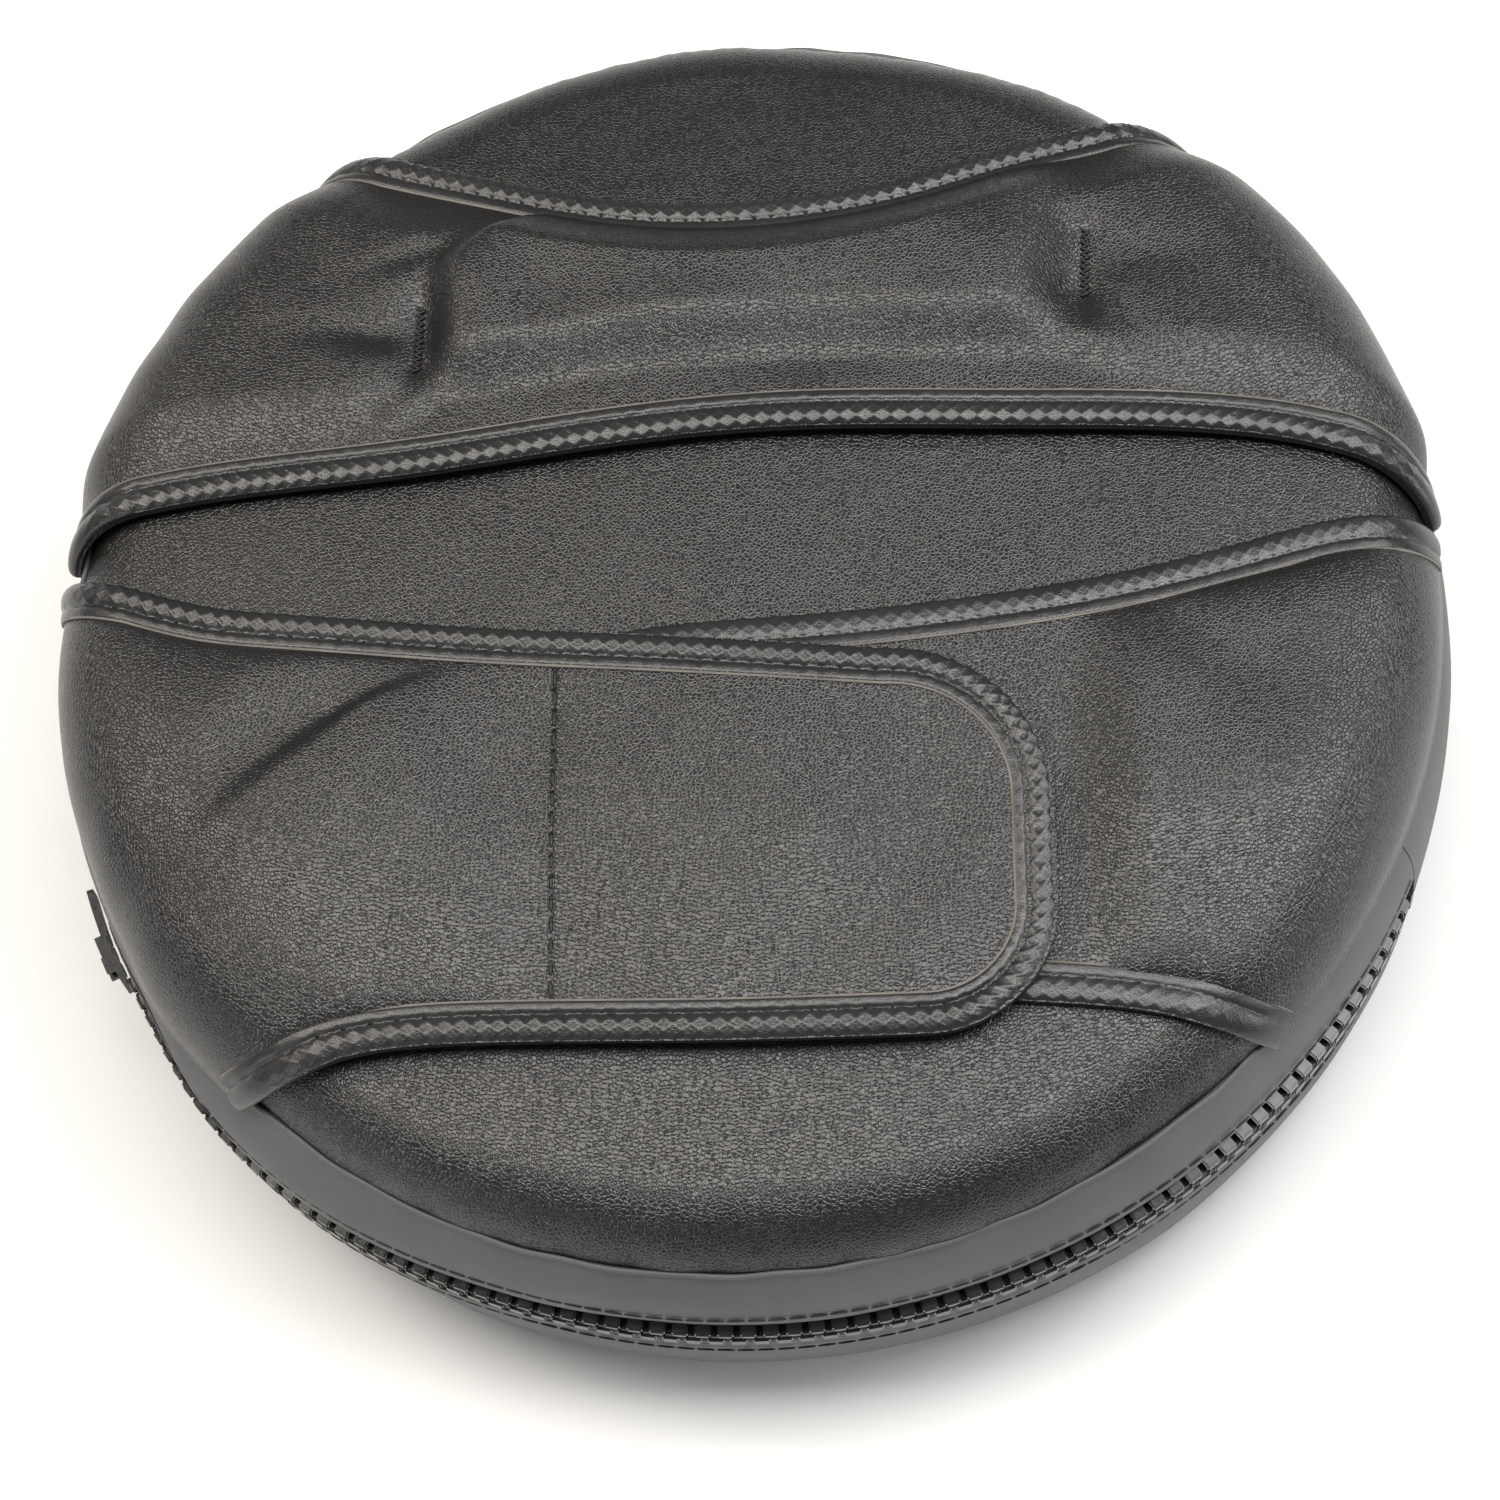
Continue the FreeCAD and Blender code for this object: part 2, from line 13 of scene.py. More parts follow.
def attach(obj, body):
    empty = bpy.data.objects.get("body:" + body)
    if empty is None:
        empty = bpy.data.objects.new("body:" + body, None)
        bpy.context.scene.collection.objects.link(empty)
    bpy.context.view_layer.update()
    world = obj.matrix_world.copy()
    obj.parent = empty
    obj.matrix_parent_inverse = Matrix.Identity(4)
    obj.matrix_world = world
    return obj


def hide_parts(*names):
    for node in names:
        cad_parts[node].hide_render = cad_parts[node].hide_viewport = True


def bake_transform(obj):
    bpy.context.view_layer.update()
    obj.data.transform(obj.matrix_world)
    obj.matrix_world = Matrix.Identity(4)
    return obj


MM = 0.001

# ---- the face, as in the CAD: a flat crown that turns over a rolled edge into the seam ----
CROWN_R = 1800.0
ROLL_R = 25.0
ROLL_START_R = 176.0
TOP_Z = 118.0
SEAM_Z = 92.0
SLOPE = math.asin(ROLL_START_R / CROWN_R)
ROLL_X = (CROWN_R - ROLL_R) * math.sin(SLOPE)
ROLL_Z = TOP_Z - CROWN_R + (CROWN_R - ROLL_R) * math.cos(SLOPE)
SEAM_ANGLE = math.asin((SEAM_Z - ROLL_Z) / ROLL_R)
CROWN_LENGTH = CROWN_R * SLOPE
SEAM_RHO = CROWN_LENGTH + ROLL_R * (math.pi / 2 - SLOPE - SEAM_ANGLE)
SEAM_R = ROLL_X + ROLL_R * math.cos(SEAM_ANGLE)

# ---- edges of the band and the straps in plan, as in the CAD ----
BAND_TOP = [(-180, 132), (-150, 147), (-124, 153), (-101, 150), (-73, 140), (-32, 128), (7, 125), (46, 130)]
BAND_TOP += [(81, 141), (106, 148), (128, 149), (152, 142), (185, 124)]
BAND_BOTTOM = [(-215, 15), (-196, 24), (-180, 31), (-150, 34), (-93, 36), (-40, 41), (16, 44), (78, 42)]
BAND_BOTTOM += [(143, 39), (176, 32), (192, 23), (215, 8)]
LEFT_TOP = [(-215, 25), (-193, 16), (-171, 6), (-150, -2), (-120, -8), (-67, -16), (-22, -21), (24, -26)]
LEFT_TOP += [(43, -28)]
LEFT_BOTTOM = [(-215, -162), (-170, -151), (-141, -145), (-107, -140), (-64, -138), (-4, -140), (52, -140)]
RIGHT_TOP = [(-46, -19), (-22, -16), (24, -14), (70, -10), (103, -5), (147, 6), (169, 12)]
RIGHT_TOP += [(191, 15), (215, 18)]
RIGHT_BOTTOM = [(-46, -120), (20, -125), (77, -130), (108, -133), (148, -138), (215, -150)]
FLAP_END_X = 88.0
FLAP_TOP_CORNER = 45.0
FLAP_BOTTOM_CORNER = 36.0
FOLD_X = -50.0
TACKS = ((-92.0, 81.0), (103.0, 96.0))
TACK_LENGTH = 22.0
SEWN_HIGH = 3.4  # the left strap's edge over the face at its root
FLAP_HIGH = 8.0  # and from its middle on, over the right strap
FLAP_UNDER = 5.6
RIGHT_HIGH = 2.9

# ---- zip and wall: the CAD's angles, heights and pitch, with a slightly fuller wall ----
ZIP_Z = 58.0
ZIP_START = 203.0
ZIP_END = 337.0
HEM_HALF = 10.0  # from the zip's middle up or down to a hem
HEM_R = 202.3
TOOTH_R_OUT = 205.3  # the slider's outer plate passes just outside this
TOOTH_BACK_R = 199.4
TAPE_R = 201.9
TAPE_THICK = 0.9
TOOTH_PITCH = 6.35
TOOTH_START = 207.6
TOOTH_END = 335.6
WALL_TOP = [(197.4, 92.2), (198.6, 89.5), (201.8, 81.0), (203.2, 74.0), (203.8, 68.0)]
WALL_LOW = [(203.8, 48.0), (203.4, 36.0), (201.8, 24.0), (199.4, 13.0), (196.5, 6.0)]
WALL_LOW += [(193.2, 1.8), (188.5, 0.2)]
WALL_THICK = 1.6
HUB_R = 75.0
FACE_UNDER_Z = 90.2

# ---- stitching: from one stitch to the next ----
STITCH = 7.0
FLAP_STITCH = 6.0
HEM_STITCH = 5.6

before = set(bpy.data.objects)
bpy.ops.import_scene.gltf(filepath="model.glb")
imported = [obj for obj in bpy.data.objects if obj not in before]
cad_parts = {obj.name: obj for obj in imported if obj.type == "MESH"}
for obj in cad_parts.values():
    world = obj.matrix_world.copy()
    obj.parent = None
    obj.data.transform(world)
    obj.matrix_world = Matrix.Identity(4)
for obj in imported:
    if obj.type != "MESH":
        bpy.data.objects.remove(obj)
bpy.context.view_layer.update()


# ------------------------------------------------------------------ small tools
def smoothstep(x):
    t = np.clip(x, 0.0, 1.0)
    return t * t * (3 - 2 * t)


def bump(x, centre, width):
    return np.exp(-(((x - centre) / width) ** 2))


def ripples(points, wavelength, seed):
    """Smooth noise of about -1 to 1 over an array of points, of any dimension."""
    draw = np.random.default_rng(seed)
    total = np.zeros(points.shape[:-1])
    waves = 14
    for _ in range(waves):
        way = draw.normal(size=points.shape[-1])
        way /= np.linalg.norm(way) * wavelength * draw.uniform(0.7, 1.5)
        total += np.sin(2 * math.pi * (points @ way) + draw.uniform(0, 2 * math.pi))
    return total / math.sqrt(waves)


def profile(rho):
    """Radius, height and outward normal of the face's skin at a distance from its centre along the skin."""
    on_crown = rho <= CROWN_LENGTH
    tilt = np.minimum(rho, CROWN_LENGTH) / CROWN_R
    turn = math.pi / 2 - SLOPE - (rho - CROWN_LENGTH) / ROLL_R
    r = np.where(on_crown, CROWN_R * np.sin(tilt), ROLL_X + ROLL_R * np.cos(turn))
    z = np.where(on_crown, TOP_Z - CROWN_R * (1 - np.cos(tilt)), ROLL_Z + ROLL_R * np.sin(turn))
    out = np.where(on_crown, np.sin(tilt), np.cos(turn))
    up = np.where(on_crown, np.cos(tilt), np.sin(turn))
    return r, z, out, up


def lay(flat, height):
    """Places of flat points at a height above the face, in metres."""
    rho = np.hypot(flat[..., 0], flat[..., 1])
    angle = np.arctan2(flat[..., 1], flat[..., 0])
    r, z, out, up = profile(rho)
    reach = r + height * out
    return np.stack([reach * np.cos(angle), reach * np.sin(angle), z + height * up], -1) * MM


def flat_point(x, y):
    """The flat point over a point of the plan. Past the seam, it goes on outwards."""
    r = math.hypot(x, y)
    if r <= ROLL_START_R:
        rho = CROWN_R * math.asin(r / CROWN_R)
    elif r < SEAM_R:
        rho = CROWN_LENGTH + ROLL_R * (math.pi / 2 - SLOPE - math.acos((r - ROLL_X) / ROLL_R))
    else:
        rho = SEAM_RHO + r - SEAM_R
    return (x * rho / r, y * rho / r)


def natural_curve(points, step=0.5):
    """A smooth curve through the points, sampled evenly."""
    p = np.array(points, float)
    t = np.concatenate([[0], np.cumsum(np.linalg.norm(np.diff(p, axis=0), axis=1))])
    h = np.diff(t)
    n = len(p)
    system = np.eye(n)
    right = np.zeros_like(p)
    for i in range(1, n - 1):
        system[i, i - 1 : i + 2] = (h[i - 1], 2 * (h[i - 1] + h[i]), h[i])
        right[i] = 6 * ((p[i + 1] - p[i]) / h[i] - (p[i] - p[i - 1]) / h[i - 1])
    m = np.linalg.solve(system, right)
    at = np.linspace(0, t[-1], max(8, int(t[-1] / step)))
    k = np.clip(np.searchsorted(t, at, side="right") - 1, 0, n - 2)
    a = ((t[k + 1] - at) / h[k])[:, None]
    b = 1 - a
    hk = h[k][:, None]
    return a * p[k] + b * p[k + 1] + ((a**3 - a) * m[k] + (b**3 - b) * m[k + 1]) * hk**2 / 6


def even(curve, count):
    """The curve at evenly spaced places."""
    t = np.concatenate([[0], np.cumsum(np.linalg.norm(np.diff(curve, axis=0), axis=1))])
    at = np.linspace(0, t[-1], count)
    return np.stack([np.interp(at, t, curve[:, i]) for i in range(curve.shape[1])], -1)


def length_of(curve):
    return float(np.linalg.norm(np.diff(curve, axis=0), axis=1).sum())


def face_edge(points):
    """An edge in flat points, cut off a millimetre into the seam."""
    curve = natural_curve([flat_point(*p) for p in points], 0.25)
    inside = np.hypot(curve[:, 0], curve[:, 1]) <= SEAM_RHO + 1.0
    return curve[inside]


def seam_arc(a, b):
    """The arc of the seam between two flat points, the short way round."""
    start = math.atan2(a[1], a[0])
    turn = (math.atan2(b[1], b[0]) - start + math.pi) % (2 * math.pi) - math.pi
    angle = start + np.linspace(0, turn, 200)
    rho = math.hypot(*a)
    return np.stack([rho * np.cos(angle), rho * np.sin(angle)], -1)


def spans(flat):
    """Distances of a grid's points from its bottom and its top edge, along its columns."""
    step = np.linalg.norm(np.diff(flat, axis=1), axis=-1)
    run = np.concatenate([np.zeros((len(flat), 1)), np.cumsum(step, axis=1)], axis=1)
    return run, run[:, -1:] - run


def cushion(low, high, lead=9.0, power=1.0):
    """Fullness from 0 under the bindings to 1 along the middle, for distances from the two edges."""
    half = (low + high) / 2
    return np.sin(math.pi / 2 * np.clip((np.minimum(low, high) - lead) / (half - lead), 0, 1)) ** power


def coons(bottom, top, left, right, columns, rows):
    """Grid of flat points that fills four edges. Columns run along the bottom, rows up the left side."""
    b = even(bottom, columns)[:, None]
    t = even(top, columns)[:, None]
    l = even(left, rows)[None]
    r = even(right, rows)[None]
    u = np.linspace(0, 1, columns)[:, None, None]
    v = np.linspace(0, 1, rows)[None, :, None]
    corners = (1 - u) * (1 - v) * b[0] + u * (1 - v) * b[-1] + (1 - u) * v * t[0] + u * v * t[-1]
    return (1 - v) * b + v * t + (1 - u) * l + u * r - corners


# ------------------------------------------------------------------ meshes
def make_mesh(name, points, faces, smooth=True):
    mesh = bpy.data.meshes.new(name)
    mesh.from_pydata(points.reshape(-1, 3).tolist(), [], faces)
    mesh.validate()
    if smooth:
        mesh.polygons.foreach_set("use_smooth", [True] * len(mesh.polygons))
        mesh.set_sharp_from_angle(angle=math.radians(55))
    obj = bpy.data.objects.new(name, mesh)
    bpy.context.scene.collection.objects.link(obj)
    return obj


def grid_faces(rows, columns, wrap_rows=False, wrap_columns=False, start=0, flip=False):
    last_row = rows if wrap_rows else rows - 1
    last_column = columns if wrap_columns else columns - 1
    i, j = np.meshgrid(np.arange(last_row), np.arange(last_column), indexing="ij")
    i2, j2 = (i + 1) % rows, (j + 1) % columns
    quads = np.stack([i * columns + j, i2 * columns + j, i2 * columns + j2, i * columns + j2], -1)
    quads = quads.reshape(-1, 4) + start
    return (quads[:, ::-1] if flip else quads).tolist()


def closed_sheet(name, top, bottom):
    """A closed piece between an upper and a lower grid of the same shape."""
    rows, columns = top.shape[:2]
    count = rows * columns
    faces = grid_faces(rows, columns) + grid_faces(rows, columns, start=count, flip=True)
    index = np.arange(count).reshape(rows, columns)
    rim = np.concatenate([index[:, 0], index[-1, 1:], index[-2::-1, -1], index[0, -2:0:-1]])
    for a, b in zip(rim, np.roll(rim, -1)):
        faces.append([int(b), int(a), int(a + count), int(b + count)])
    return make_mesh(name, np.concatenate([top.reshape(-1, 3), bottom.reshape(-1, 3)]), faces)


def tube(name, rings, loop=False):
    """A closed skin over rings of points: rings[i, j] is point j round ring i. A loop joins its own start."""
    count, around = rings.shape[:2]
    faces = grid_faces(count, around, wrap_rows=loop, wrap_columns=True)
    if not loop:
        faces.append(list(range(around)))
        faces.append(list(range((count - 1) * around, count * around))[::-1])
    return make_mesh(name, rings, faces)


def many(name, unit, faces, places):
    """Copies of one small shape: each place is an origin and three axes, in metres."""
    points = []
    all_faces = []
    for origin, axes in places:
        start = len(points) * len(unit)
        points.append(origin + unit @ axes)
        all_faces += [[start + k for k in f] for f in faces]
    return make_mesh(name, np.concatenate(points), all_faces)


def capsule():
    """A stitch: a rounded bar along x, 1 long, 1 wide and 1 high."""
    around, along = 8, 7
    points = []
    for i in range(along):
        a = math.pi * (0.04 + 0.92 * i / (along - 1))
        fat = math.sin(a) ** 0.5
        for j in range(around):
            b = 2 * math.pi * j / around
            points.append((-math.cos(a) / 2, fat * math.cos(b) / 2, fat * math.sin(b) / 2))
    faces = grid_faces(along, around, wrap_columns=True)
    faces.append(list(range(around)))
    faces.append(list(range((along - 1) * around, along * around))[::-1])
    return np.array(points), faces


def stitches(name, line, normals, pitch, length, width):
    """A row of stitches along a line of points in metres, sunk a little into the surface under it."""
    t = np.concatenate([[0], np.cumsum(np.linalg.norm(np.diff(line, axis=0), axis=1))])
    count = max(1, int(t[-1] / (pitch * MM)))
    middle = (np.arange(count) + 0.5) * t[-1] / count
    half = length * MM / 2
    sink = 0.25 * width * MM

    def at(s, values):
        return np.stack([np.interp(s, t, values[:, k]) for k in range(3)], -1)

    places = []
    for s in middle:
        a, b = at(s - half, line), at(s + half, line)
        up = at(s, normals)
        along = (b - a) / np.linalg.norm(b - a)
        up = up - along * (up @ along)
        up /= np.linalg.norm(up)
        side = np.cross(up, along)
        axes = np.stack([along * length, side * width, up * width * 0.8]) * MM
        places.append(((a + b) / 2 - up * sink, axes))
    unit, faces = capsule()
    return many(name, unit, faces, places)


def face_row(name, flat_line, height, pitch, length, width):
    """A row of stitches along a flat line."""
    line = lay(flat_line, height)
    normals = lay(flat_line, height + 1.0) - line
    return stitches(name, line, normals, pitch, length, width)


# ------------------------------------------------------------------ materials
def material(name, colour, roughness, **sockets):
    made = bpy.data.materials.new(name)
    made.use_nodes = True
    shader = made.node_tree.nodes["Principled BSDF"]
    shader.inputs["Base Color"].default_value = (*colour, 1)
    shader.inputs["Roughness"].default_value = roughness
    for socket, value in sockets.items():
        shader.inputs[socket.replace("_", " ")].default_value = value
    return made, made.node_tree.nodes, made.node_tree.links, shader


def texture(nodes, links, kind, scale, **settings):
    place = nodes.new("ShaderNodeTexCoord")
    made = nodes.new(kind)
    made.inputs["Scale"].default_value = scale
    for key, value in settings.items():
        if key in made.inputs:
            made.inputs[key].default_value = value
        else:
            setattr(made, key, value)
    links.new(place.outputs["Object"], made.inputs["Vector"])
    return made


def spread(nodes, links, source, low, high, from_low=0.3, from_high=0.7):
    """A texture's value turned into a range for a socket."""
    made = nodes.new("ShaderNodeMapRange")
    made.inputs["From Min"].default_value = from_low
    made.inputs["From Max"].default_value = from_high
    made.inputs["To Min"].default_value = low
    made.inputs["To Max"].default_value = high
    links.new(source, made.inputs["Value"])
    return made.outputs["Result"]


def two_tone(nodes, links, source, a, b):
    ramp = nodes.new("ShaderNodeValToRGB")
    ramp.color_ramp.elements[0].position = 0.35
    ramp.color_ramp.elements[1].position = 0.65
    ramp.color_ramp.elements[0].color = (*a, 1)
    ramp.color_ramp.elements[1].color = (*b, 1)
    links.new(source, ramp.inputs["Fac"])
    return ramp.outputs["Color"]


def add_bump(nodes, links, shader, layers):
    """Bump from several height sources: each layer is an output, a strength and a depth in millimetres."""
    before = None
    for source, strength, depth in layers:
        made = nodes.new("ShaderNodeBump")
        made.inputs["Strength"].default_value = strength
        made.inputs["Distance"].default_value = depth * MM
        links.new(source, made.inputs["Height"])
        if before:
            links.new(before, made.inputs["Normal"])
        before = made.outputs["Normal"]
    links.new(before, shader.inputs["Normal"])


def leather(name, dark, light, rough, grain, depth):
    """Leathercloth: a pebble grain, its size and depth in millimetres, in a colour that drifts a little."""
    made, nodes, links, shader = material(name, dark, rough[0])
    drift = texture(nodes, links, "ShaderNodeTexNoise", 14, Detail=3)
    wear = texture(nodes, links, "ShaderNodeTexNoise", 55, Detail=5)
    pebble = texture(nodes, links, "ShaderNodeTexVoronoi", 1000 / grain, feature="DISTANCE_TO_EDGE")
    fine = texture(nodes, links, "ShaderNodeTexNoise", 2600 / grain, Detail=3)
    links.new(two_tone(nodes, links, drift.outputs["Fac"], dark, light), shader.inputs["Base Color"])
    links.new(spread(nodes, links, wear.outputs["Fac"], *rough), shader.inputs["Roughness"])
    shader.inputs["IOR"].default_value = 1.62
    cells = spread(nodes, links, pebble.outputs["Distance"], 0, 1, 0.0, 0.22)
    add_bump(nodes, links, shader, [(cells, 0.55, depth), (fine.outputs["Fac"], 0.35, depth * 0.7)])
    return made


def cloth(name, colour, rough, threads=0.55):
    """Woven cloth or tape, with threads of the given spacing in millimetres."""
    made, nodes, links, shader = material(name, colour, rough, Sheen_Weight=0.2)
    layers = []
    scale = 1000 / threads / (2 * math.pi)
    for way in ("X", "Y"):
        turned = texture(nodes, links, "ShaderNodeTexWave", scale, bands_direction=way)
        layers.append((turned.outputs["Fac"], 0.5, 0.12))
    drift = texture(nodes, links, "ShaderNodeTexNoise", 60, Detail=4)
    lighter = tuple(c * 1.5 for c in colour)
    links.new(two_tone(nodes, links, drift.outputs["Fac"], colour, lighter), shader.inputs["Base Color"])
    add_bump(nodes, links, shader, layers)
    return made


def moulded(name, colour, rough):
    """Moulded plastic or enamel with faint scuffs."""
    made, nodes, links, shader = material(name, colour, rough[0])
    scuff = texture(nodes, links, "ShaderNodeTexNoise", 420, Detail=6)
    links.new(spread(nodes, links, scuff.outputs["Fac"], *rough), shader.inputs["Roughness"])
    add_bump(nodes, links, shader, [(scuff.outputs["Fac"], 0.25, 0.08)])
    return made


def fuzzy(name, colour):
    """The hooks or loops of a touch fastener."""
    made, nodes, links, shader = material(name, colour, 0.9, Sheen_Weight=0.35)
    dots = texture(nodes, links, "ShaderNodeTexVoronoi", 900)
    add_bump(nodes, links, shader, [(dots.outputs["Distance"], 0.9, 0.5)])
    return made


LEATHER = leather("leathercloth", (0.0088, 0.0084, 0.0078), (0.0106, 0.0101, 0.0094), (0.30, 0.33), 1.15, 0.2)
SIDE = leather("side_cloth", (0.082, 0.083, 0.085), (0.092, 0.093, 0.095), (0.58, 0.66), 0.7, 0.06)
BINDING = leather("binding", (0.014, 0.0142, 0.015), (0.020, 0.0198, 0.020), (0.26, 0.36), 0.8, 0.05)
LINING = cloth("lining", (0.045, 0.045, 0.048), 0.85, threads=0.8)
TAPE = cloth("zip_tape", (0.020, 0.020, 0.023), 0.75)
THREAD = moulded("thread", (0.0035, 0.0045, 0.009), (0.45, 0.6))
# Near black: painted shade for the inside of the needle holes, which are not cut into the surfaces
HOLE_SHADE = moulded("painted_hole_shade", (0.0015, 0.0015, 0.0015), (0.95, 1.0))
TEETH = moulded("zip_plastic", (0.030, 0.029, 0.027), (0.13, 0.24))
METAL = moulded("slider_enamel", (0.022, 0.022, 0.024), (0.25, 0.4))
RAW_EDGE = cloth("raw_edge", (0.12, 0.11, 0.098), 0.8, threads=0.6)
FUZZ = fuzzy("hook_loop", (0.018, 0.018, 0.019))


def finish_piece(obj, finish, slot, *nodes):
    """The finish, and the CAD nodes that the piece stands for, which are hidden. The slot is not used."""
    obj.data.materials.clear()
    obj.data.materials.append(finish)
    if nodes:
        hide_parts(*nodes)
    return obj


def on_cover(obj):
    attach(obj, "cover")


def bend_at_mouth(obj):
    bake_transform(obj)


def bend_at_strap(obj):
    """The cloth would bend from 4 mm before the fold line to 9 mm past it; here the piece's place is only
    baked into its mesh.
    """
    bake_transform(obj)


def bend_at_flap(obj):
    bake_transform(obj)


# ------------------------------------------------------------------ face
def seam_pucker(angle, rho):
    """How the stitches of the round seam gather the padded edge, in millimetres."""
    near = bump(rho, SEAM_RHO - 7, 6)
    gather = np.sin(angle * 171 + 2.2 * np.sin(angle * 23)) * 0.10 + np.sin(angle * 64 + 1.3) * 0.12
    return near * gather


def face():
    rings, around = 150, 720
    rho = np.linspace(0.0, 1.0, rings) ** 0.8 * (SEAM_RHO + 3.0)
    angle = np.linspace(0, 2 * math.pi, around, endpoint=False)
    rho, angle = np.meshgrid(rho, angle, indexing="ij")
    rho = np.maximum(rho, 0.5)
    flat = np.stack([rho * np.cos(angle), rho * np.sin(angle)], -1)
    edge = smoothstep((rho - 150) / 40)
    height = ripples(flat, 95, 3) * (0.5 + 0.5 * edge) * 0.7 + ripples(flat, 38, 4) * 0.12
    height += seam_pucker(angle, rho)
    height -= 2.2 * smoothstep((rho - (SEAM_RHO - 2)) / 5)
    top = lay(flat, height)
    under_r = np.minimum(rho, SEAM_R - 3) / (SEAM_R - 3)
    base = np.stack([under_r * (SEAM_R - 3) * np.cos(angle), under_r * (SEAM_R - 3) * np.sin(angle)], -1)
    under = np.concatenate([base, FACE_UNDER_Z + 0.24 * ripples(base, 120, 5)[..., None]], -1) * MM
    count = rings * around
    faces = grid_faces(rings, around, wrap_columns=True) + grid_faces(rings, around, False, True, count, True)
    last = (rings - 1) * around
    for j in range(around):
        k = (j + 1) % around
        faces.append([last + j, last + count + j, last + count + k, last + k])
    faces += [list(range(around)), [count + j for j in range(around)][::-1]]
    skin = make_mesh("face_cushion", np.concatenate([top.reshape(-1, 3), under.reshape(-1, 3)]), faces)
    finish_piece(skin, LEATHER, "leathercloth", "face_panel", "face_foam", "lip_panel", "lip_foam")
    bend_at_mouth(skin)
    face_underlining(under)


def face_underlining(under):
    """The lining, just below the cushion's underside."""
    below = under - np.array([0, 0, 0.3 * MM])
    lining = make_mesh("face_underlining", below, grid_faces(*under.shape[:2], False, True, 0, True))
    thickness = lining.modifiers.new("thickness", "SOLIDIFY")
    thickness.thickness = 1.0 * MM
    thickness.offset = 1
    finish_piece(lining, LINING, "lining", "face_lining", "lip_lining")
    bend_at_mouth(lining)


# ------------------------------------------------------------------ side wall
def bulge(angle, z):
    """The side stands out a little at the left of the zip, where the cloth is slack: angle in radians."""
    turn = np.degrees(angle) % 360
    rise = smoothstep((turn - 209) / 14) * smoothstep((256 - turn) / 26)
    return 3.0 * rise * smoothstep((z - 22) / 24) * smoothstep((90 - z) / 18)


def wall_strip(name, outline, start, end, *nodes):
    """A strip of the side wall: a smooth outline of (radius, z) swept between two angles."""
    line = natural_curve(outline, 1.2)
    tangent = np.gradient(line, axis=0)
    normal = np.stack([-tangent[:, 1], tangent[:, 0]], -1)
    normal /= np.linalg.norm(normal, axis=1)[:, None]
    if normal[len(normal) // 2, 0] < 0:
        normal = -normal
    count = int(abs(end - start) * 2.2)
    angle = np.radians(np.linspace(start, end, count))
    ways = np.stack([np.cos(angle), np.sin(angle)], -1)

    def swept(offset):
        r = (line[:, 0] + normal[:, 0] * offset)[None, :]
        z = (line[:, 1] + normal[:, 1] * offset)[None, :] + np.zeros((count, 1))
        spot = np.stack([ways[:, :1] * 200 + 0 * z, ways[:, 1:] * 200 + 0 * z, z], -1)
        ease = smoothstep((92 - z) / 12) * smoothstep(z / 12)
        swell = (ripples(spot, 110, 11) * 0.55 + ripples(spot, 34, 12) * 0.12) * ease
        crease = 0.35 * ripples(spot * (1, 1, 0.25), 26, 13) * bump(z, 86, 6)
        r = r + swell + crease + bulge(angle[:, None], z)
        return np.stack([r * ways[:, :1], r * ways[:, 1:], z], -1) * MM

    return finish_piece(closed_sheet(name, swept(0.0), swept(-WALL_THICK)), SIDE, "side_cloth", *nodes)


def ring_line(radius, z):
    """A line along the zip, for stitches, with its normals."""
    start, end = ZIP_START + 0.6, ZIP_END - 0.6
    angle = np.radians(np.linspace(start, end, int((end - start) / 0.5)))
    radius = radius + bulge(angle, z)
    points = np.stack([radius * np.cos(angle), radius * np.sin(angle), np.full(len(angle), z)], -1) * MM
    normals = np.stack([np.cos(angle), np.sin(angle), np.full(len(angle), 0.25)], -1)
    return points, normals


def walls():
    whole = WALL_TOP + [(204.1, ZIP_Z)] + WALL_LOW
    on_cover(wall_strip("side_wall", whole, ZIP_END - 360 + 0.1, ZIP_START - 0.1, "side_band"))
    on_cover(wall_strip("wall_below_zip", WALL_LOW, ZIP_START, ZIP_END, "rear_zip_strip"))
    nodes = ("front_zip_strip_ends", "lip_zip_strip")
    bend_at_mouth(wall_strip("wall_above_zip", WALL_TOP, ZIP_START, ZIP_END, *nodes))


def swept_rings(section):
    """The (radius, z) section swept along the zip, moved out with the side's bulge."""
    angle = np.radians(np.linspace(ZIP_START, ZIP_END, 420))[:, None]
    z = section[None, :, 1] + 0 * angle
    r = section[None, :, 0] + bulge(angle, z)
    return np.stack([r * np.cos(angle), r * np.sin(angle), z], -1) * MM


def seam_fold():
    """The folded edge of the side cloth that shows as a thin line all along the seam."""
    angle = np.linspace(0, 2 * math.pi, 900, endpoint=False)
    turn = np.linspace(0, 2 * math.pi, 10, endpoint=False)
    z = SEAM_Z + 0.3 + 0.8 * np.sin(turn)[None, :] + 0.25 * np.sin(angle * 61)[:, None]
    r = 197.5 + 0.8 * np.cos(turn)[None, :] + 0.2 * np.sin(angle * 43 + 1)[:, None]
    rings = np.stack([r * np.cos(angle)[:, None], r * np.sin(angle)[:, None], z], -1) * MM
    fold = finish_piece(tube("seam_fold", rings, loop=True), SIDE, "side_cloth")
    bend_at_mouth(fold)


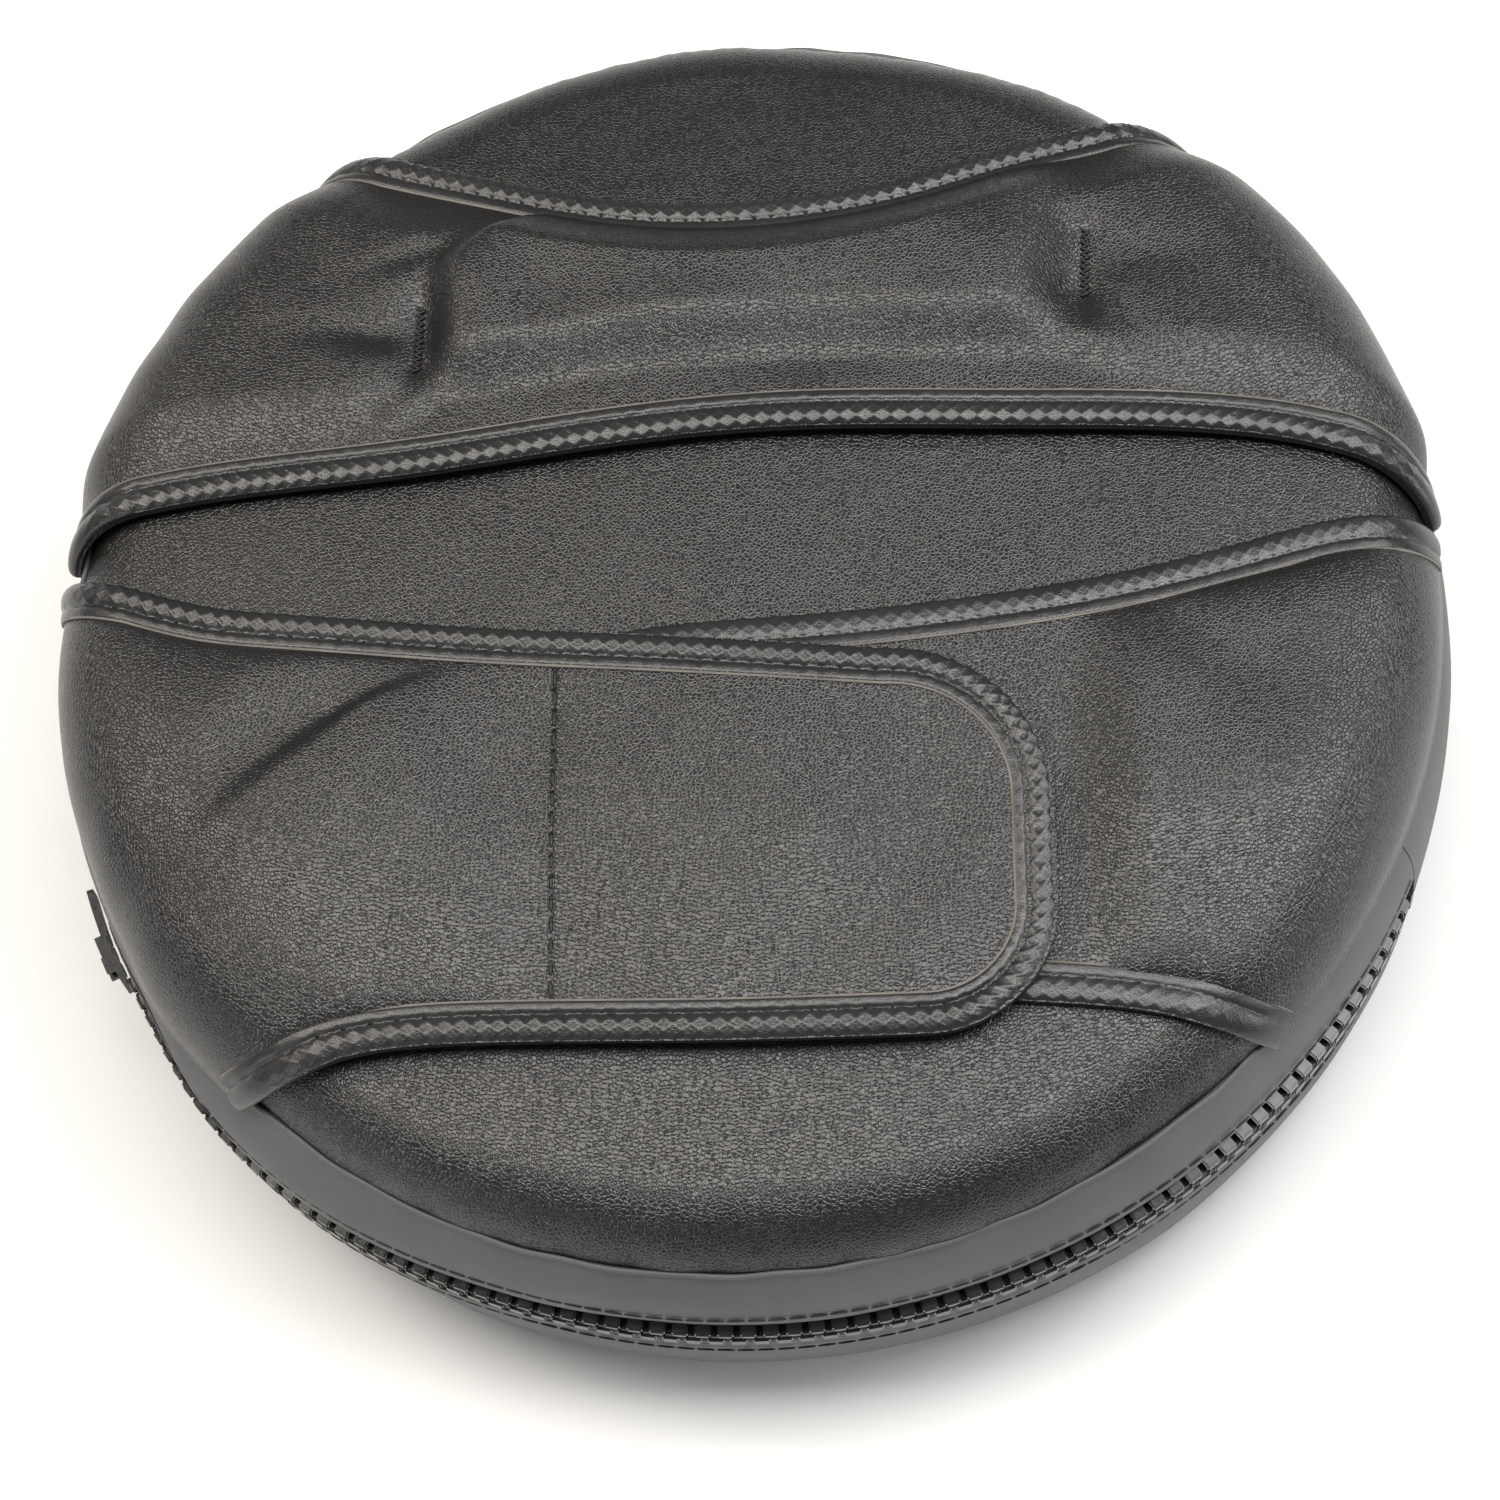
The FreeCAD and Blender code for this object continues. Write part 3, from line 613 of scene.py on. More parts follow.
def hems():
    """The folded edges of the two strips beside the zip, each with its row of stitches."""
    turn = np.linspace(0, 2 * math.pi, 12, endpoint=False)
    for name, up, move in (("upper_hem", 1, bend_at_mouth), ("lower_hem", -1, on_cover)):
        z = ZIP_Z + up * HEM_HALF
        section = np.stack([HEM_R + 1.15 * np.cos(turn), z - up * 0.2 + 1.7 * np.sin(turn)], -1)
        move(finish_piece(tube(name, swept_rings(section)), SIDE, "side_cloth"))
        line, normals = ring_line(204.25, z + up * 4.2)
        row = stitches(name + "_stitches", line, normals, HEM_STITCH, 5.1, 0.85)
        move(finish_piece(row, THREAD, "thread"))
        line, normals = ring_line(HEM_R + 1.1, z + up * 0.4)
        row = stitches(name + "_edge_stitches", line, normals, HEM_STITCH, 3.8, 0.55)
        move(finish_piece(row, THREAD, "thread"))


# ------------------------------------------------------------------ zip
def tapes():
    """Each tape runs from under its hem to the teeth, with a corded edge that the teeth are moulded on."""
    outline = [(202.9, HEM_HALF + 3.5), (202.6, HEM_HALF), (TAPE_R + 0.3, 7.5), (TAPE_R, 4.5), (TAPE_R, 2.6)]
    for name, up, move, nodes in (
        ("zip_tape_upper", 1, bend_at_mouth, ["zip_tape_front_ends", "zip_tape_lip"]),
        ("zip_tape_lower", -1, on_cover, ["zip_tape_rear"]),
    ):
        line = natural_curve([(r, ZIP_Z + up * h) for r, h in outline], 1.0)
        tape = closed_sheet(name, swept_rings(line), swept_rings(line - (TAPE_THICK, 0)))
        move(finish_piece(tape, TAPE, "zip_tape", *nodes))


def bevelled_block(size, bevel):
    """Points and faces of a rounded block centred on the origin."""
    work = bmesh.new()
    bmesh.ops.create_cube(work, size=1.0)
    for v in work.verts:
        v.co = Vector((v.co.x * size[0], v.co.y * size[1], v.co.z * size[2]))
    bmesh.ops.bevel(work, geom=work.edges[:] + work.verts[:], offset=bevel, segments=2, affect="EDGES")
    work.verts.index_update()
    points = np.array([v.co[:] for v in work.verts])
    faces = [[v.index for v in f.verts] for f in work.faces]
    work.free()
    return points, faces


def tooth_shape(up):
    """One moulded tooth in its own axes: x outwards, y along the zip, z up.

    It is a block and a head. The upper row's blocks slope down outwards."""
    width, reach = (4.45, TOOTH_R_OUT) if up > 0 else (4.9, TOOTH_R_OUT - 0.1)
    deep = reach - TOOTH_BACK_R
    block, block_faces = bevelled_block((deep, width, 3.8), 0.5)
    block[:, 2] -= np.where(block[:, 2] > 0, 0.26 * (block[:, 0] + deep / 2), 0) * (up > 0)
    head, head_faces = bevelled_block((3.4, 3.0, 3.6), 0.45)
    points = np.concatenate([block + ((reach + TOOTH_BACK_R) / 2, 0, 3.3), head + (202.9, 0, 0.6)])
    faces = block_faces + [[k + len(block) for k in face] for face in head_faces]
    return points * (1, 1, up), [face[::up] for face in faces]


def teeth_row(name, angles, up):
    unit, faces = tooth_shape(up)
    places = []
    for a in np.radians(angles):
        out = np.array([math.cos(a), math.sin(a), 0])
        along = np.array([-math.sin(a), math.cos(a), 0])
        axes = np.stack([out, along, np.array([0, 0, 1.0])]) * MM
        places.append((out * float(bulge(a, ZIP_Z)) * MM + np.array([0, 0, ZIP_Z * MM]), axes))
    return finish_piece(many(name, unit, faces, places), TEETH, "zip_plastic")


def zip_teeth():
    step = math.degrees(TOOTH_PITCH / TOOTH_R_OUT)
    count = int((TOOTH_END - TOOTH_START) / step)
    front = [TOOTH_START + i * step for i in range(count + 1)]
    upper = teeth_row("zip_teeth_upper", front, 1)
    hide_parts("zip_teeth_front_ends", "zip_teeth_lip")
    bend_at_mouth(upper)
    lower = teeth_row("zip_teeth_lower", [a + step / 2 for a in front[:-1]], -1)
    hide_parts("zip_teeth_rear")
    on_cover(lower)


# ------------------------------------------------------------------ bindings
SECTION = [(11.0, -0.4), (11.0, 0.75), (9.6, 1.0), (8.3, 0.75), (7.5, 0.25), (6.8, 0.85), (5.4, 1.55)]
SECTION += [(3.6, 1.75), (1.8, 1.35), (0.5, 0.4), (0.0, -0.8), (0.5, -2.0), (1.9, -2.8), (4.5, -3.0)]
SECTION += [(8.0, -2.6), (10.4, -1.4)]
SECTION_POINTS = 46
STITCH_ROW = 7.5  # from a binding's outer edge to its stitches
BRAID = 4.9  # length of one cell of the embossed braid
BRAID_ROUND = 0.86 * BRAID  # and its width, measured round the bead


def section_points():
    """The binding's section, in distance from the edge and height, with normals and distance along it."""
    loop = np.array(SECTION + SECTION[:1])
    smooth = even(natural_curve(loop, 0.2), SECTION_POINTS + 1)[:-1]
    tangent = np.roll(smooth, -1, 0) - np.roll(smooth, 1, 0)
    normal = np.stack([-tangent[:, 1], tangent[:, 0]], -1)
    normal /= np.linalg.norm(normal, axis=1)[:, None]
    along = np.concatenate([[0], np.cumsum(np.linalg.norm(np.diff(smooth, axis=0), axis=1))])
    return smooth, normal, along


def braid(s, q):
    """Height of the embossed braid at a distance along the binding and a distance round it."""
    a = np.abs(np.sin(math.pi * (s / BRAID + q / BRAID_ROUND)))
    b = np.abs(np.sin(math.pi * (s / BRAID - q / BRAID_ROUND)))
    return np.minimum(1, np.minimum(a, b) * 1.9) ** 0.7


def binding(name, edge, inward, top_height, squash, plain_ends):
    """A binding along a flat edge.

    inward is 1 where the panel is on the left of the edge's way, -1 on the right. top_height gives the
    panel's height along the edge, from 0 to 1. The braid fades out at an end that is plain. It returns the
    binding, its raw edge, and the flat line and the height of its stitches."""
    length = length_of(edge)
    count = int(length / 0.5)
    line = even(edge, count)
    tangent = np.gradient(line, axis=0)
    tangent /= np.linalg.norm(tangent, axis=1)[:, None]
    side = np.stack([-tangent[:, 1], tangent[:, 0]], -1) * inward
    share = np.linspace(0, 1, count)
    high = top_height(share)
    s = share * length
    section, normal, along = section_points()
    fade = np.ones(count)
    if plain_ends[0]:
        fade *= smoothstep((s - 8) / 16)
    if plain_ends[1]:
        fade *= smoothstep((length - s - 8) / 16)
    bead = 1 - 0.8 * smoothstep((section[:, 0] - 6.6) / 1.6)
    emboss = 0.42 * braid(s[:, None], along[None, :]) * fade[:, None] * bead[None, :]
    near_row = bump(section[:, 0], STITCH_ROW, 1.6)[None, :]
    pull = 0.22 * (0.5 + 0.5 * np.cos(2 * math.pi * s / STITCH))[:, None] * near_row
    upper = smoothstep((section[:, 1] + 2.2) / 1.2)[None, :]
    lift = (emboss - 0.25) * upper - pull * (section[:, 1] > 0)
    t = section[None, :, 0] + normal[None, :, 0] * lift
    h = (section[None, :, 1] + normal[None, :, 1] * lift) * squash
    flat = line[:, None] + side[:, None] * t[..., None]
    rings = lay(flat, high[:, None] + h)
    if inward < 0:
        rings = rings[:, ::-1]
    piece = tube(name, rings)
    raw = []
    for t, h in ((10.9, -0.5), (10.9, 1.0), (11.5, 0.85), (11.5, -0.5)):
        raw.append(lay(line + side * t, high + h * squash))
    edge_strip = tube(name + "_raw_edge", np.stack(raw, 1))
    return piece, edge_strip, line + side * STITCH_ROW, high + 0.45 * squash


def bound_edge(name, edge, inward, top_height, nodes, bend, squash=1.0, plain_ends=(True, True)):
    piece, raw, row, height = binding(name, edge, inward, top_height, squash, plain_ends)
    finish_piece(piece, BINDING, "binding", *nodes)
    finish_piece(raw, RAW_EDGE, "binding")
    stitched = face_row(name + "_stitches", row, height, STITCH, 4.6, 0.8)
    finish_piece(stitched, THREAD, "thread")
    half = int(STITCH / 2 / length_of(row) * len(row))
    # Dark marks beside the stitches: painted shade for the needle holes
    holes = face_row(name + "_needle_holes", row[half:], height[half:] - 0.1, STITCH, 2.2, 1.7)
    finish_piece(holes, HOLE_SHADE, "thread")
    for p in (piece, raw, stitched, holes):
        bend(p)


# ------------------------------------------------------------------ cross band
def band_low_height(share):
    """The band's lower edge is sewn down at both ends and stands off the face between them."""
    return 3.0 + 4.4 * np.sin(math.pi * share) ** 0.45


def band_high_height(share):
    return 3.0 + 4.6 * np.sin(math.pi * share) ** 0.7


def soft_clip(x, soft):
    """A ramp from 0 to 1 with rounded corners."""
    return np.clip(0.5 + (np.sqrt(x**2 + soft**2) - np.sqrt((x - 1) ** 2 + soft**2)) / 2, 0, 1)


def tube_share(x, y):
    """1 along the padded tube between the tacks, 0 beyond them, with a steep facet at each end."""
    (left_x, left_y), (right_x, right_y) = TACKS
    below = np.maximum(left_y - 15 - y, 0)
    above = np.maximum(y - left_y - 16, 0)
    left = soft_clip((x - left_x - 1.5 + 0.055 * below**2 - 0.04 * above**2) / 10.5, 0.10)
    below = np.maximum(right_y - 17 - y, 0)
    right = soft_clip((right_x - 4 - x + 0.05 * below**2) / 17, 0.3)
    return left * right


def folds(x, y):
    """Folds that run out from the tacks into the flatter ends of the band."""
    (left_x, left_y), (right_x, right_y) = TACKS
    beyond = smoothstep((left_x - x) / 10) * bump(x, left_x - 10, 26)
    west = -1.5 * bump(y, left_y + 1 + 0.12 * (left_x - x), 6.5) * beyond
    down = (x - left_x + 8) * 0.62 - (y - left_y + 21) * 0.78
    run = (x - left_x + 8) * 0.78 + (y - left_y + 21) * 0.62
    west -= 2.3 * bump(down, 0, 6) * bump(run, -2, 17)
    climb = (x - left_x - 4) * 0.25 - (y - left_y - 31) * 0.97
    west -= 1.6 * bump(climb, 0, 4.5) * bump(x, left_x + 3, 17)
    down = (x - right_x - 8) * 0.70 + (y - right_y + 21) * 0.71
    run = (x - right_x - 8) * 0.71 - (y - right_y + 21) * 0.70
    east = -1.8 * bump(down, 0, 8) * bump(run, 0, 20)
    east -= 0.8 * bump(y, right_y + 4, 9) * smoothstep((x - right_x) / 12) * bump(x, right_x + 14, 24)
    return west + east


def dimple(x, y, tack):
    tx, ty = tack
    reach = np.hypot(x - tx, np.maximum(np.abs(y - ty) - TACK_LENGTH / 2 + 2, 0))
    return np.exp(-((reach / 6.5) ** 1.4))


def band_height(flat, u, from_low, from_high):
    x, y = flat[..., 0], flat[..., 1]
    lower, upper = band_low_height(u), band_high_height(u)
    steep = 7.6 * smoothstep((from_low - 21) / 20)
    gentle = 2.9 * smoothstep((from_low - 24) / 48)
    tube = (steep + gentle) * smoothstep((from_high - 6) / 19)
    flatter = 4.6 * smoothstep((from_low - 9) / 24) * smoothstep((from_high - 7) / 24)
    share = tube_share(x, y)
    ground = lower + (upper - lower) * smoothstep((from_low - 14) / 60)
    full = cushion(from_low, from_high)
    (left_x, left_y), (right_x, right_y) = TACKS
    ends = 2.4 * bump(x, left_x + 17, 15) * bump(y, left_y + 2, 26)
    ends += 1.8 * bump(x, right_x - 22, 16) * bump(y, right_y - 12, 22)
    hollows = 2.2 * bump(x, left_x + 3, 6) * bump(y, left_y - 2, 19)
    hollows += 2.0 * bump(x, right_x - 5, 8) * bump(y, right_y - 10, 17)
    height = ground + (tube + full * ends) * share + flatter * (1 - share) - full * hollows
    height += full * (ripples(flat, 62, 21) * 0.7 + ripples(flat, 27, 22) * 0.16 + folds(x, y))
    for tack in TACKS:
        height -= 2.4 * dimple(x, y, tack)
    return height


def cross_band():
    low, high = face_edge(BAND_BOTTOM), face_edge(BAND_TOP)
    high[:, 1] -= 2.0 * np.sin(np.linspace(0, math.pi, len(high)))  # it stands up and leans forwards
    columns, rows = 360, 100
    flat = coons(low, high, seam_arc(low[0], high[0]), seam_arc(low[-1], high[-1]), columns, rows)
    u = np.linspace(0, 1, columns)[:, None]
    from_low, from_high = spans(flat)
    height = band_height(flat, u, from_low, from_high)
    edge = np.where(from_low < from_high, band_low_height(u), band_high_height(u))
    under = np.maximum(np.minimum(edge - 2.4, height - 1.8), 0.4)
    band = closed_sheet("cross_band", lay(flat, height), lay(flat, under))
    finish_piece(band, LEATHER, "leathercloth", "band_panel", "band_pad", "band_lining")
    on_cover(band)
    bound_edge("band_top_binding", high, -1, band_high_height, ["band_top_trim"], on_cover)
    bound_edge("band_bottom_binding", low, 1, band_low_height, ["band_bottom_trim"], on_cover)
    bpy.context.view_layer.update()
    tacks(band)


def tacks(band):
    """Bar tacks: a dense zigzag of thread on the band's surface."""
    places = []
    turns = 22
    for x, y in TACKS:
        spine = []
        for i in range(turns + 1):
            y0 = y - TACK_LENGTH / 2 + TACK_LENGTH * i / turns
            side = 1.0 if i % 2 else -1.0
            px, py = flat_point(x + side + 0.03 * (y0 - y), y0)
            start = Vector(lay(np.array([px, py]), 40.0).tolist())
            down = Vector(lay(np.array([px, py]), 0.0).tolist()) - start
            _, spot, normal, _ = band.ray_cast(start, down.normalized())
            spine.append((np.array(spot) + np.array(normal) * 0.35 * MM, np.array(normal)))
        for (a, up), (b, _) in zip(spine, spine[1:]):
            along = (b - a) / np.linalg.norm(b - a)
            across = np.cross(up, along)
            size = np.linalg.norm(b - a) * 1.3
            places.append(((a + b) / 2, np.stack([along * size, across * 1.05 * MM, up * 1.05 * MM])))
    unit, faces = capsule()
    piece = many("bar_tacks", unit, faces, places)
    on_cover(finish_piece(piece, THREAD, "thread", "band_tacks"))


# ------------------------------------------------------------------ left strap and flap
def split_at_fold(edge):
    """The strap's and the flap's part of an edge that runs to the right."""
    k = int(np.searchsorted(edge[:, 0], FOLD_X))
    return edge[: k + 1], edge[k:]


def bend_left(obj):
    bend_at_strap(obj)


def bend_right(obj):
    bend_at_strap(obj)


def left_edge_height(share):
    """Thin where it is sewn in, then up to the flap's height."""
    return SEWN_HIGH + (FLAP_HIGH - SEWN_HIGH) * smoothstep(share * 1.9)


def shoulder(flat, width=42.0):
    """0 at the seam and 1 further in, as a full pad rises from a seam."""
    from_seam = SEAM_RHO - np.hypot(flat[..., 0], flat[..., 1])
    return np.sin(math.pi / 2 * np.clip((from_seam - 1) / width, 0, 1)) ** 0.9


def left_height(flat, edge, from_low, from_high, from_end):
    """Height of the strap and its flap as one surface, so that they meet smoothly at the fold."""
    x, y = flat[..., 0], flat[..., 1]
    full = cushion(from_low, from_high, lead=11.2, power=0.5)
    ends = smoothstep((from_end - 10) / 25)
    swell = 8.6 * shoulder(flat) * (1 - 0.9 * smoothstep((x + 124) / 76))
    along = (x + 120) * 0.843 + (y + 46) * 0.539
    across = (y + 46) * 0.843 - (x + 120) * 0.539 + 0.0035 * (along - 6) ** 2 - 1.5
    rise = 9 - 4 * smoothstep((along + 5) / 30)
    dip = smoothstep((across + rise) / rise) * (1 - smoothstep((across - 2) / 25))
    crease = 4.2 * dip * bump(along, 4, 33)
    height = edge + full * (swell - crease)
    return height + full * ends * (ripples(flat, 72, 31) * 0.75 + ripples(flat, 30, 32) * 0.14)


def left_strap():
    low, _ = split_at_fold(face_edge(LEFT_BOTTOM))
    high, _ = split_at_fold(face_edge(LEFT_TOP))
    columns, rows = 180, 110
    fold = np.linspace(low[-1], high[-1], 100)
    flat = coons(low, high, seam_arc(low[0], high[0]), fold, columns, rows)
    edge = left_edge_height(np.linspace(0, 1, columns))[:, None]
    from_low, from_high = spans(flat)
    height = left_height(flat, edge, from_low, from_high, np.full(from_low.shape, 99.0))
    under = np.maximum(np.minimum(edge - 3.0, height - 2.2), 0.4)
    pad = closed_sheet("left_strap_cushion", lay(flat, height), lay(flat, under))
    nodes = [a + b for a in ("left_root_", "left_strap_") for b in ("panel", "pad", "lining")]
    finish_piece(pad, LEATHER, "leathercloth", *nodes)
    bend_left(pad)
    ends = (True, False)
    nodes = ["left_root_trim", "left_strap_trim"]
    bound_edge("left_top_binding", high, -1, left_edge_height, nodes, bend_left, plain_ends=ends)
    bound_edge("left_bottom_binding", low, 1, left_edge_height, [], bend_left, plain_ends=ends)


def corner(radius, centre_y, start, end):
    """A rounded corner of the flap's end."""
    angle = np.radians(np.linspace(start, end, 60))
    return np.stack([FLAP_END_X - radius + radius * np.cos(angle), centre_y + radius * np.sin(angle)], -1)


def flap_edge_height(share):
    return np.full(np.shape(share), FLAP_HIGH)


def flap():
    _, low = split_at_fold(face_edge(LEFT_BOTTOM))
    _, high = split_at_fold(face_edge(LEFT_TOP))
    low_corner = corner(FLAP_BOTTOM_CORNER, low[-1, 1] + FLAP_BOTTOM_CORNER, -90, 0)
    high_corner = corner(FLAP_TOP_CORNER, high[-1, 1] - FLAP_TOP_CORNER, 0, 90)
    end = np.concatenate([low_corner, high_corner])
    columns, rows = 260, 110
    fold = np.linspace(low[0], high[0], 100)
    flat = coons(low, high, fold, end, columns, rows)
    from_low, from_high = spans(flat)
    from_end = np.linalg.norm(flat - flat[-1:], axis=-1)
    height = left_height(flat, FLAP_HIGH, from_low, from_high, from_end)
    height -= 0.7 * bump(flat[..., 0], FOLD_X + 0.9, 1.2)
    panel = closed_sheet("flap_panel_cloth", lay(flat, height), lay(flat, np.full(height.shape, FLAP_UNDER)))
    finish_piece(panel, LEATHER, "leathercloth", "flap_panel")
    bend_at_flap(panel)
    edge = np.concatenate([low, end[1:], high[::-1][1:]])
    edge = even(edge, 1600)
    ends = (False, False)
    bound_edge("flap_binding", edge, 1, flap_edge_height, ["flap_trim"], bend_at_flap, plain_ends=ends)
    flap_stitching(low, high)


def flap_stitching(low, high):
    """The row of stitches across the strap at the flap's fold."""
    count = 60
    row = np.linspace(high[0] + (0.9, -11.6), low[0] + (0.9, 11.6), count)
    from_ends = 12 + np.linspace(0, 1, count) * 96
    rests = left_height(row, FLAP_HIGH, from_ends, from_ends[::-1], 99.0)
    stitched = face_row("flap_stitch_line", row, rests - 0.25, FLAP_STITCH, 4.6, 1.15)
    finish_piece(stitched, THREAD, "thread", "flap_stitching")
    # Dark marks beside the stitches: painted shade for the needle holes
    holes = face_row("flap_needle_holes", row[2:], rests[2:] - 0.3, FLAP_STITCH, 1.5, 1.5)
    finish_piece(holes, HOLE_SHADE, "thread")
    for piece in (stitched, holes):
        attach(piece, "strap_flap")


# ------------------------------------------------------------------ right strap
def right_edge_height(share):
    return np.full(np.shape(share), RIGHT_HIGH)


def right_strap():
    low, high = face_edge(RIGHT_BOTTOM), face_edge(RIGHT_TOP)
    free = np.linspace(low[0], high[0], 100)
    flat = coons(low, high, free, seam_arc(low[-1], high[-1]), 170, 84)
    x = flat[..., 0]
    open_part = smoothstep((x - 90) / 26) * shoulder(flat)
    full = cushion(*spans(flat), lead=11.2, power=0.5)
    dip = 2.2 * bump((x - 128) * 0.6 + (flat[..., 1] + 22) * 0.8, 0, 11) * bump(x, 126, 24)
    rise = 7.2 + 1.0 * bump(x, 150, 22) - dip + ripples(flat, 64, 51) * 0.7 + ripples(flat, 28, 52) * 0.15
    height = RIGHT_HIGH + full * open_part * rise
    strap = closed_sheet("right_strap_cloth", lay(flat, height), lay(flat, np.full(height.shape, 0.5)))
    finish_piece(strap, LEATHER, "leathercloth", "right_root_panel", "right_strap_panel")
    bend_right(strap)
    ends = (False, True)
    nodes = ["right_root_trim", "right_strap_trim"]
    squash = 0.55
    bound_edge("right_top_binding", high, -1, right_edge_height, nodes, bend_right, squash, ends)
    bound_edge("right_bottom_binding", low, 1, right_edge_height, [], bend_right, squash, ends)
    bound_edge("right_end_binding", free, -1, right_edge_height, [], bend_right, squash, (False, False))


# ------------------------------------------------------------------ back
def back_panel():
    """The back panel, a little slack."""
    rings, around = 60, 360
    rho = np.linspace(HUB_R + 4.0, 188.2, rings)
    angle = np.linspace(0, 2 * math.pi, around, endpoint=False)
    rho, angle = np.meshgrid(rho, angle, indexing="ij")
    spot = np.stack([rho * np.cos(angle), rho * np.sin(angle)], -1)
    slack = smoothstep((rho - HUB_R - 6) / 20) * smoothstep((188 - rho) / 20)
    z = 0.5 + slack * (0.5 + 0.4 * ripples(spot, 60, 61))
    top = np.concatenate([spot, z[..., None] + 1.5], -1) * MM
    low = np.concatenate([spot, z[..., None]], -1) * MM
    count = rings * around
    faces = grid_faces(rings, around, False, True) + grid_faces(rings, around, False, True, count, True)
    for j in range(around):
        k = (j + 1) % around
        last = count - around
        faces.append([last + j, last + count + j, last + count + k, last + k])
        faces.append([j, k, count + k, count + j])
    panel = make_mesh("back_panel_cloth", np.concatenate([top.reshape(-1, 3), low.reshape(-1, 3)]), faces)
    on_cover(finish_piece(panel, SIDE, "side_cloth", "back_panel"))


def hub_binding():
    """The binding of the hub opening, with a row of stitches inside and outside the cover."""
    around = 480
    turns = np.linspace(0, 2 * math.pi, around, endpoint=False)
    section = []
    for a in np.linspace(0, 2 * math.pi, 20, endpoint=False):
        c, s = math.cos(a), math.sin(a)
        r = HUB_R + 4.5 + 4.5 * math.copysign(abs(c) ** 0.7, c)
        section.append((r, 2.0 + 2.0 * math.copysign(abs(s) ** 0.8, s)))
    rings = np.array([[(r * math.cos(t), r * math.sin(t), z) for r, z in section] for t in turns]) * MM
    on_cover(finish_piece(tube("hub_binding", rings, loop=True), BINDING, "binding", "hub_opening_trim"))
    row_r = HUB_R + 7.0
    for name, z, up in (("hub_stitches_inside", 3.6, 1), ("hub_stitches_outside", 0.5, -1)):
        line = np.stack([row_r * np.cos(turns), row_r * np.sin(turns), np.full(around, z)], -1) * MM
        normals = np.tile([0, 0, float(up)], (around, 1))
        on_cover(finish_piece(stitches(name, line, normals, HEM_STITCH, 4.4, 0.7), THREAD, "thread"))


# ------------------------------------------------------------------ CAD pieces that stay
def keep_cad(name, finish, bevel=0.0):
    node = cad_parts[name]
    node.data.materials.clear()
    node.data.materials.append(finish)
    if bevel:
        soft = node.modifiers.new("bevel", "BEVEL")
        soft.width = bevel * MM
        soft.segments = 3
        soft.limit_method = "ANGLE"


# ------------------------------------------------------------------ studio
CAMERA_DISTANCE = 5.5 * SEAM_R * MM
CAMERA_TILT = math.radians(27.5)  # off the wheel's axis
CAMERA_SIDE = math.radians(11.07)  # round towards +X from straight in front of the mouth
CAMERA_ROLL = math.radians(12.48)
LENS = 89.9
AIM_RIGHT = 0.0023  # how far the middle of the seam's circle is left of the picture's centre, as a slope
AIM_DOWN = 0.0353  # and how far it is above it


def camera():
    centre = Vector((0, 0, SEAM_Z * MM))
    side, tilt = CAMERA_SIDE, CAMERA_TILT
    away = Vector((math.sin(tilt) * math.sin(side), -math.sin(tilt) * math.cos(side), math.cos(tilt)))
    level = Vector((math.cos(side), math.sin(side), 0))
    down = -away.cross(level)
    right = level * math.cos(CAMERA_ROLL) + down * math.sin(CAMERA_ROLL)
    down = down * math.cos(CAMERA_ROLL) - level * math.sin(CAMERA_ROLL)
    forward = (-away + right * AIM_RIGHT + down * AIM_DOWN).normalized()
    right = (right - forward * right.dot(forward)).normalized()
    up = right.cross(forward)
    rig = bpy.data.cameras.new("camera")
    rig.lens = LENS
    rig.sensor_width = 36
    obj = bpy.data.objects.new("camera", rig)
    turned = Matrix((right, up, -forward)).transposed().to_4x4()
    obj.matrix_world = Matrix.Translation(centre + away * CAMERA_DISTANCE) @ turned
    bpy.context.scene.collection.objects.link(obj)
    bpy.context.scene.camera = obj


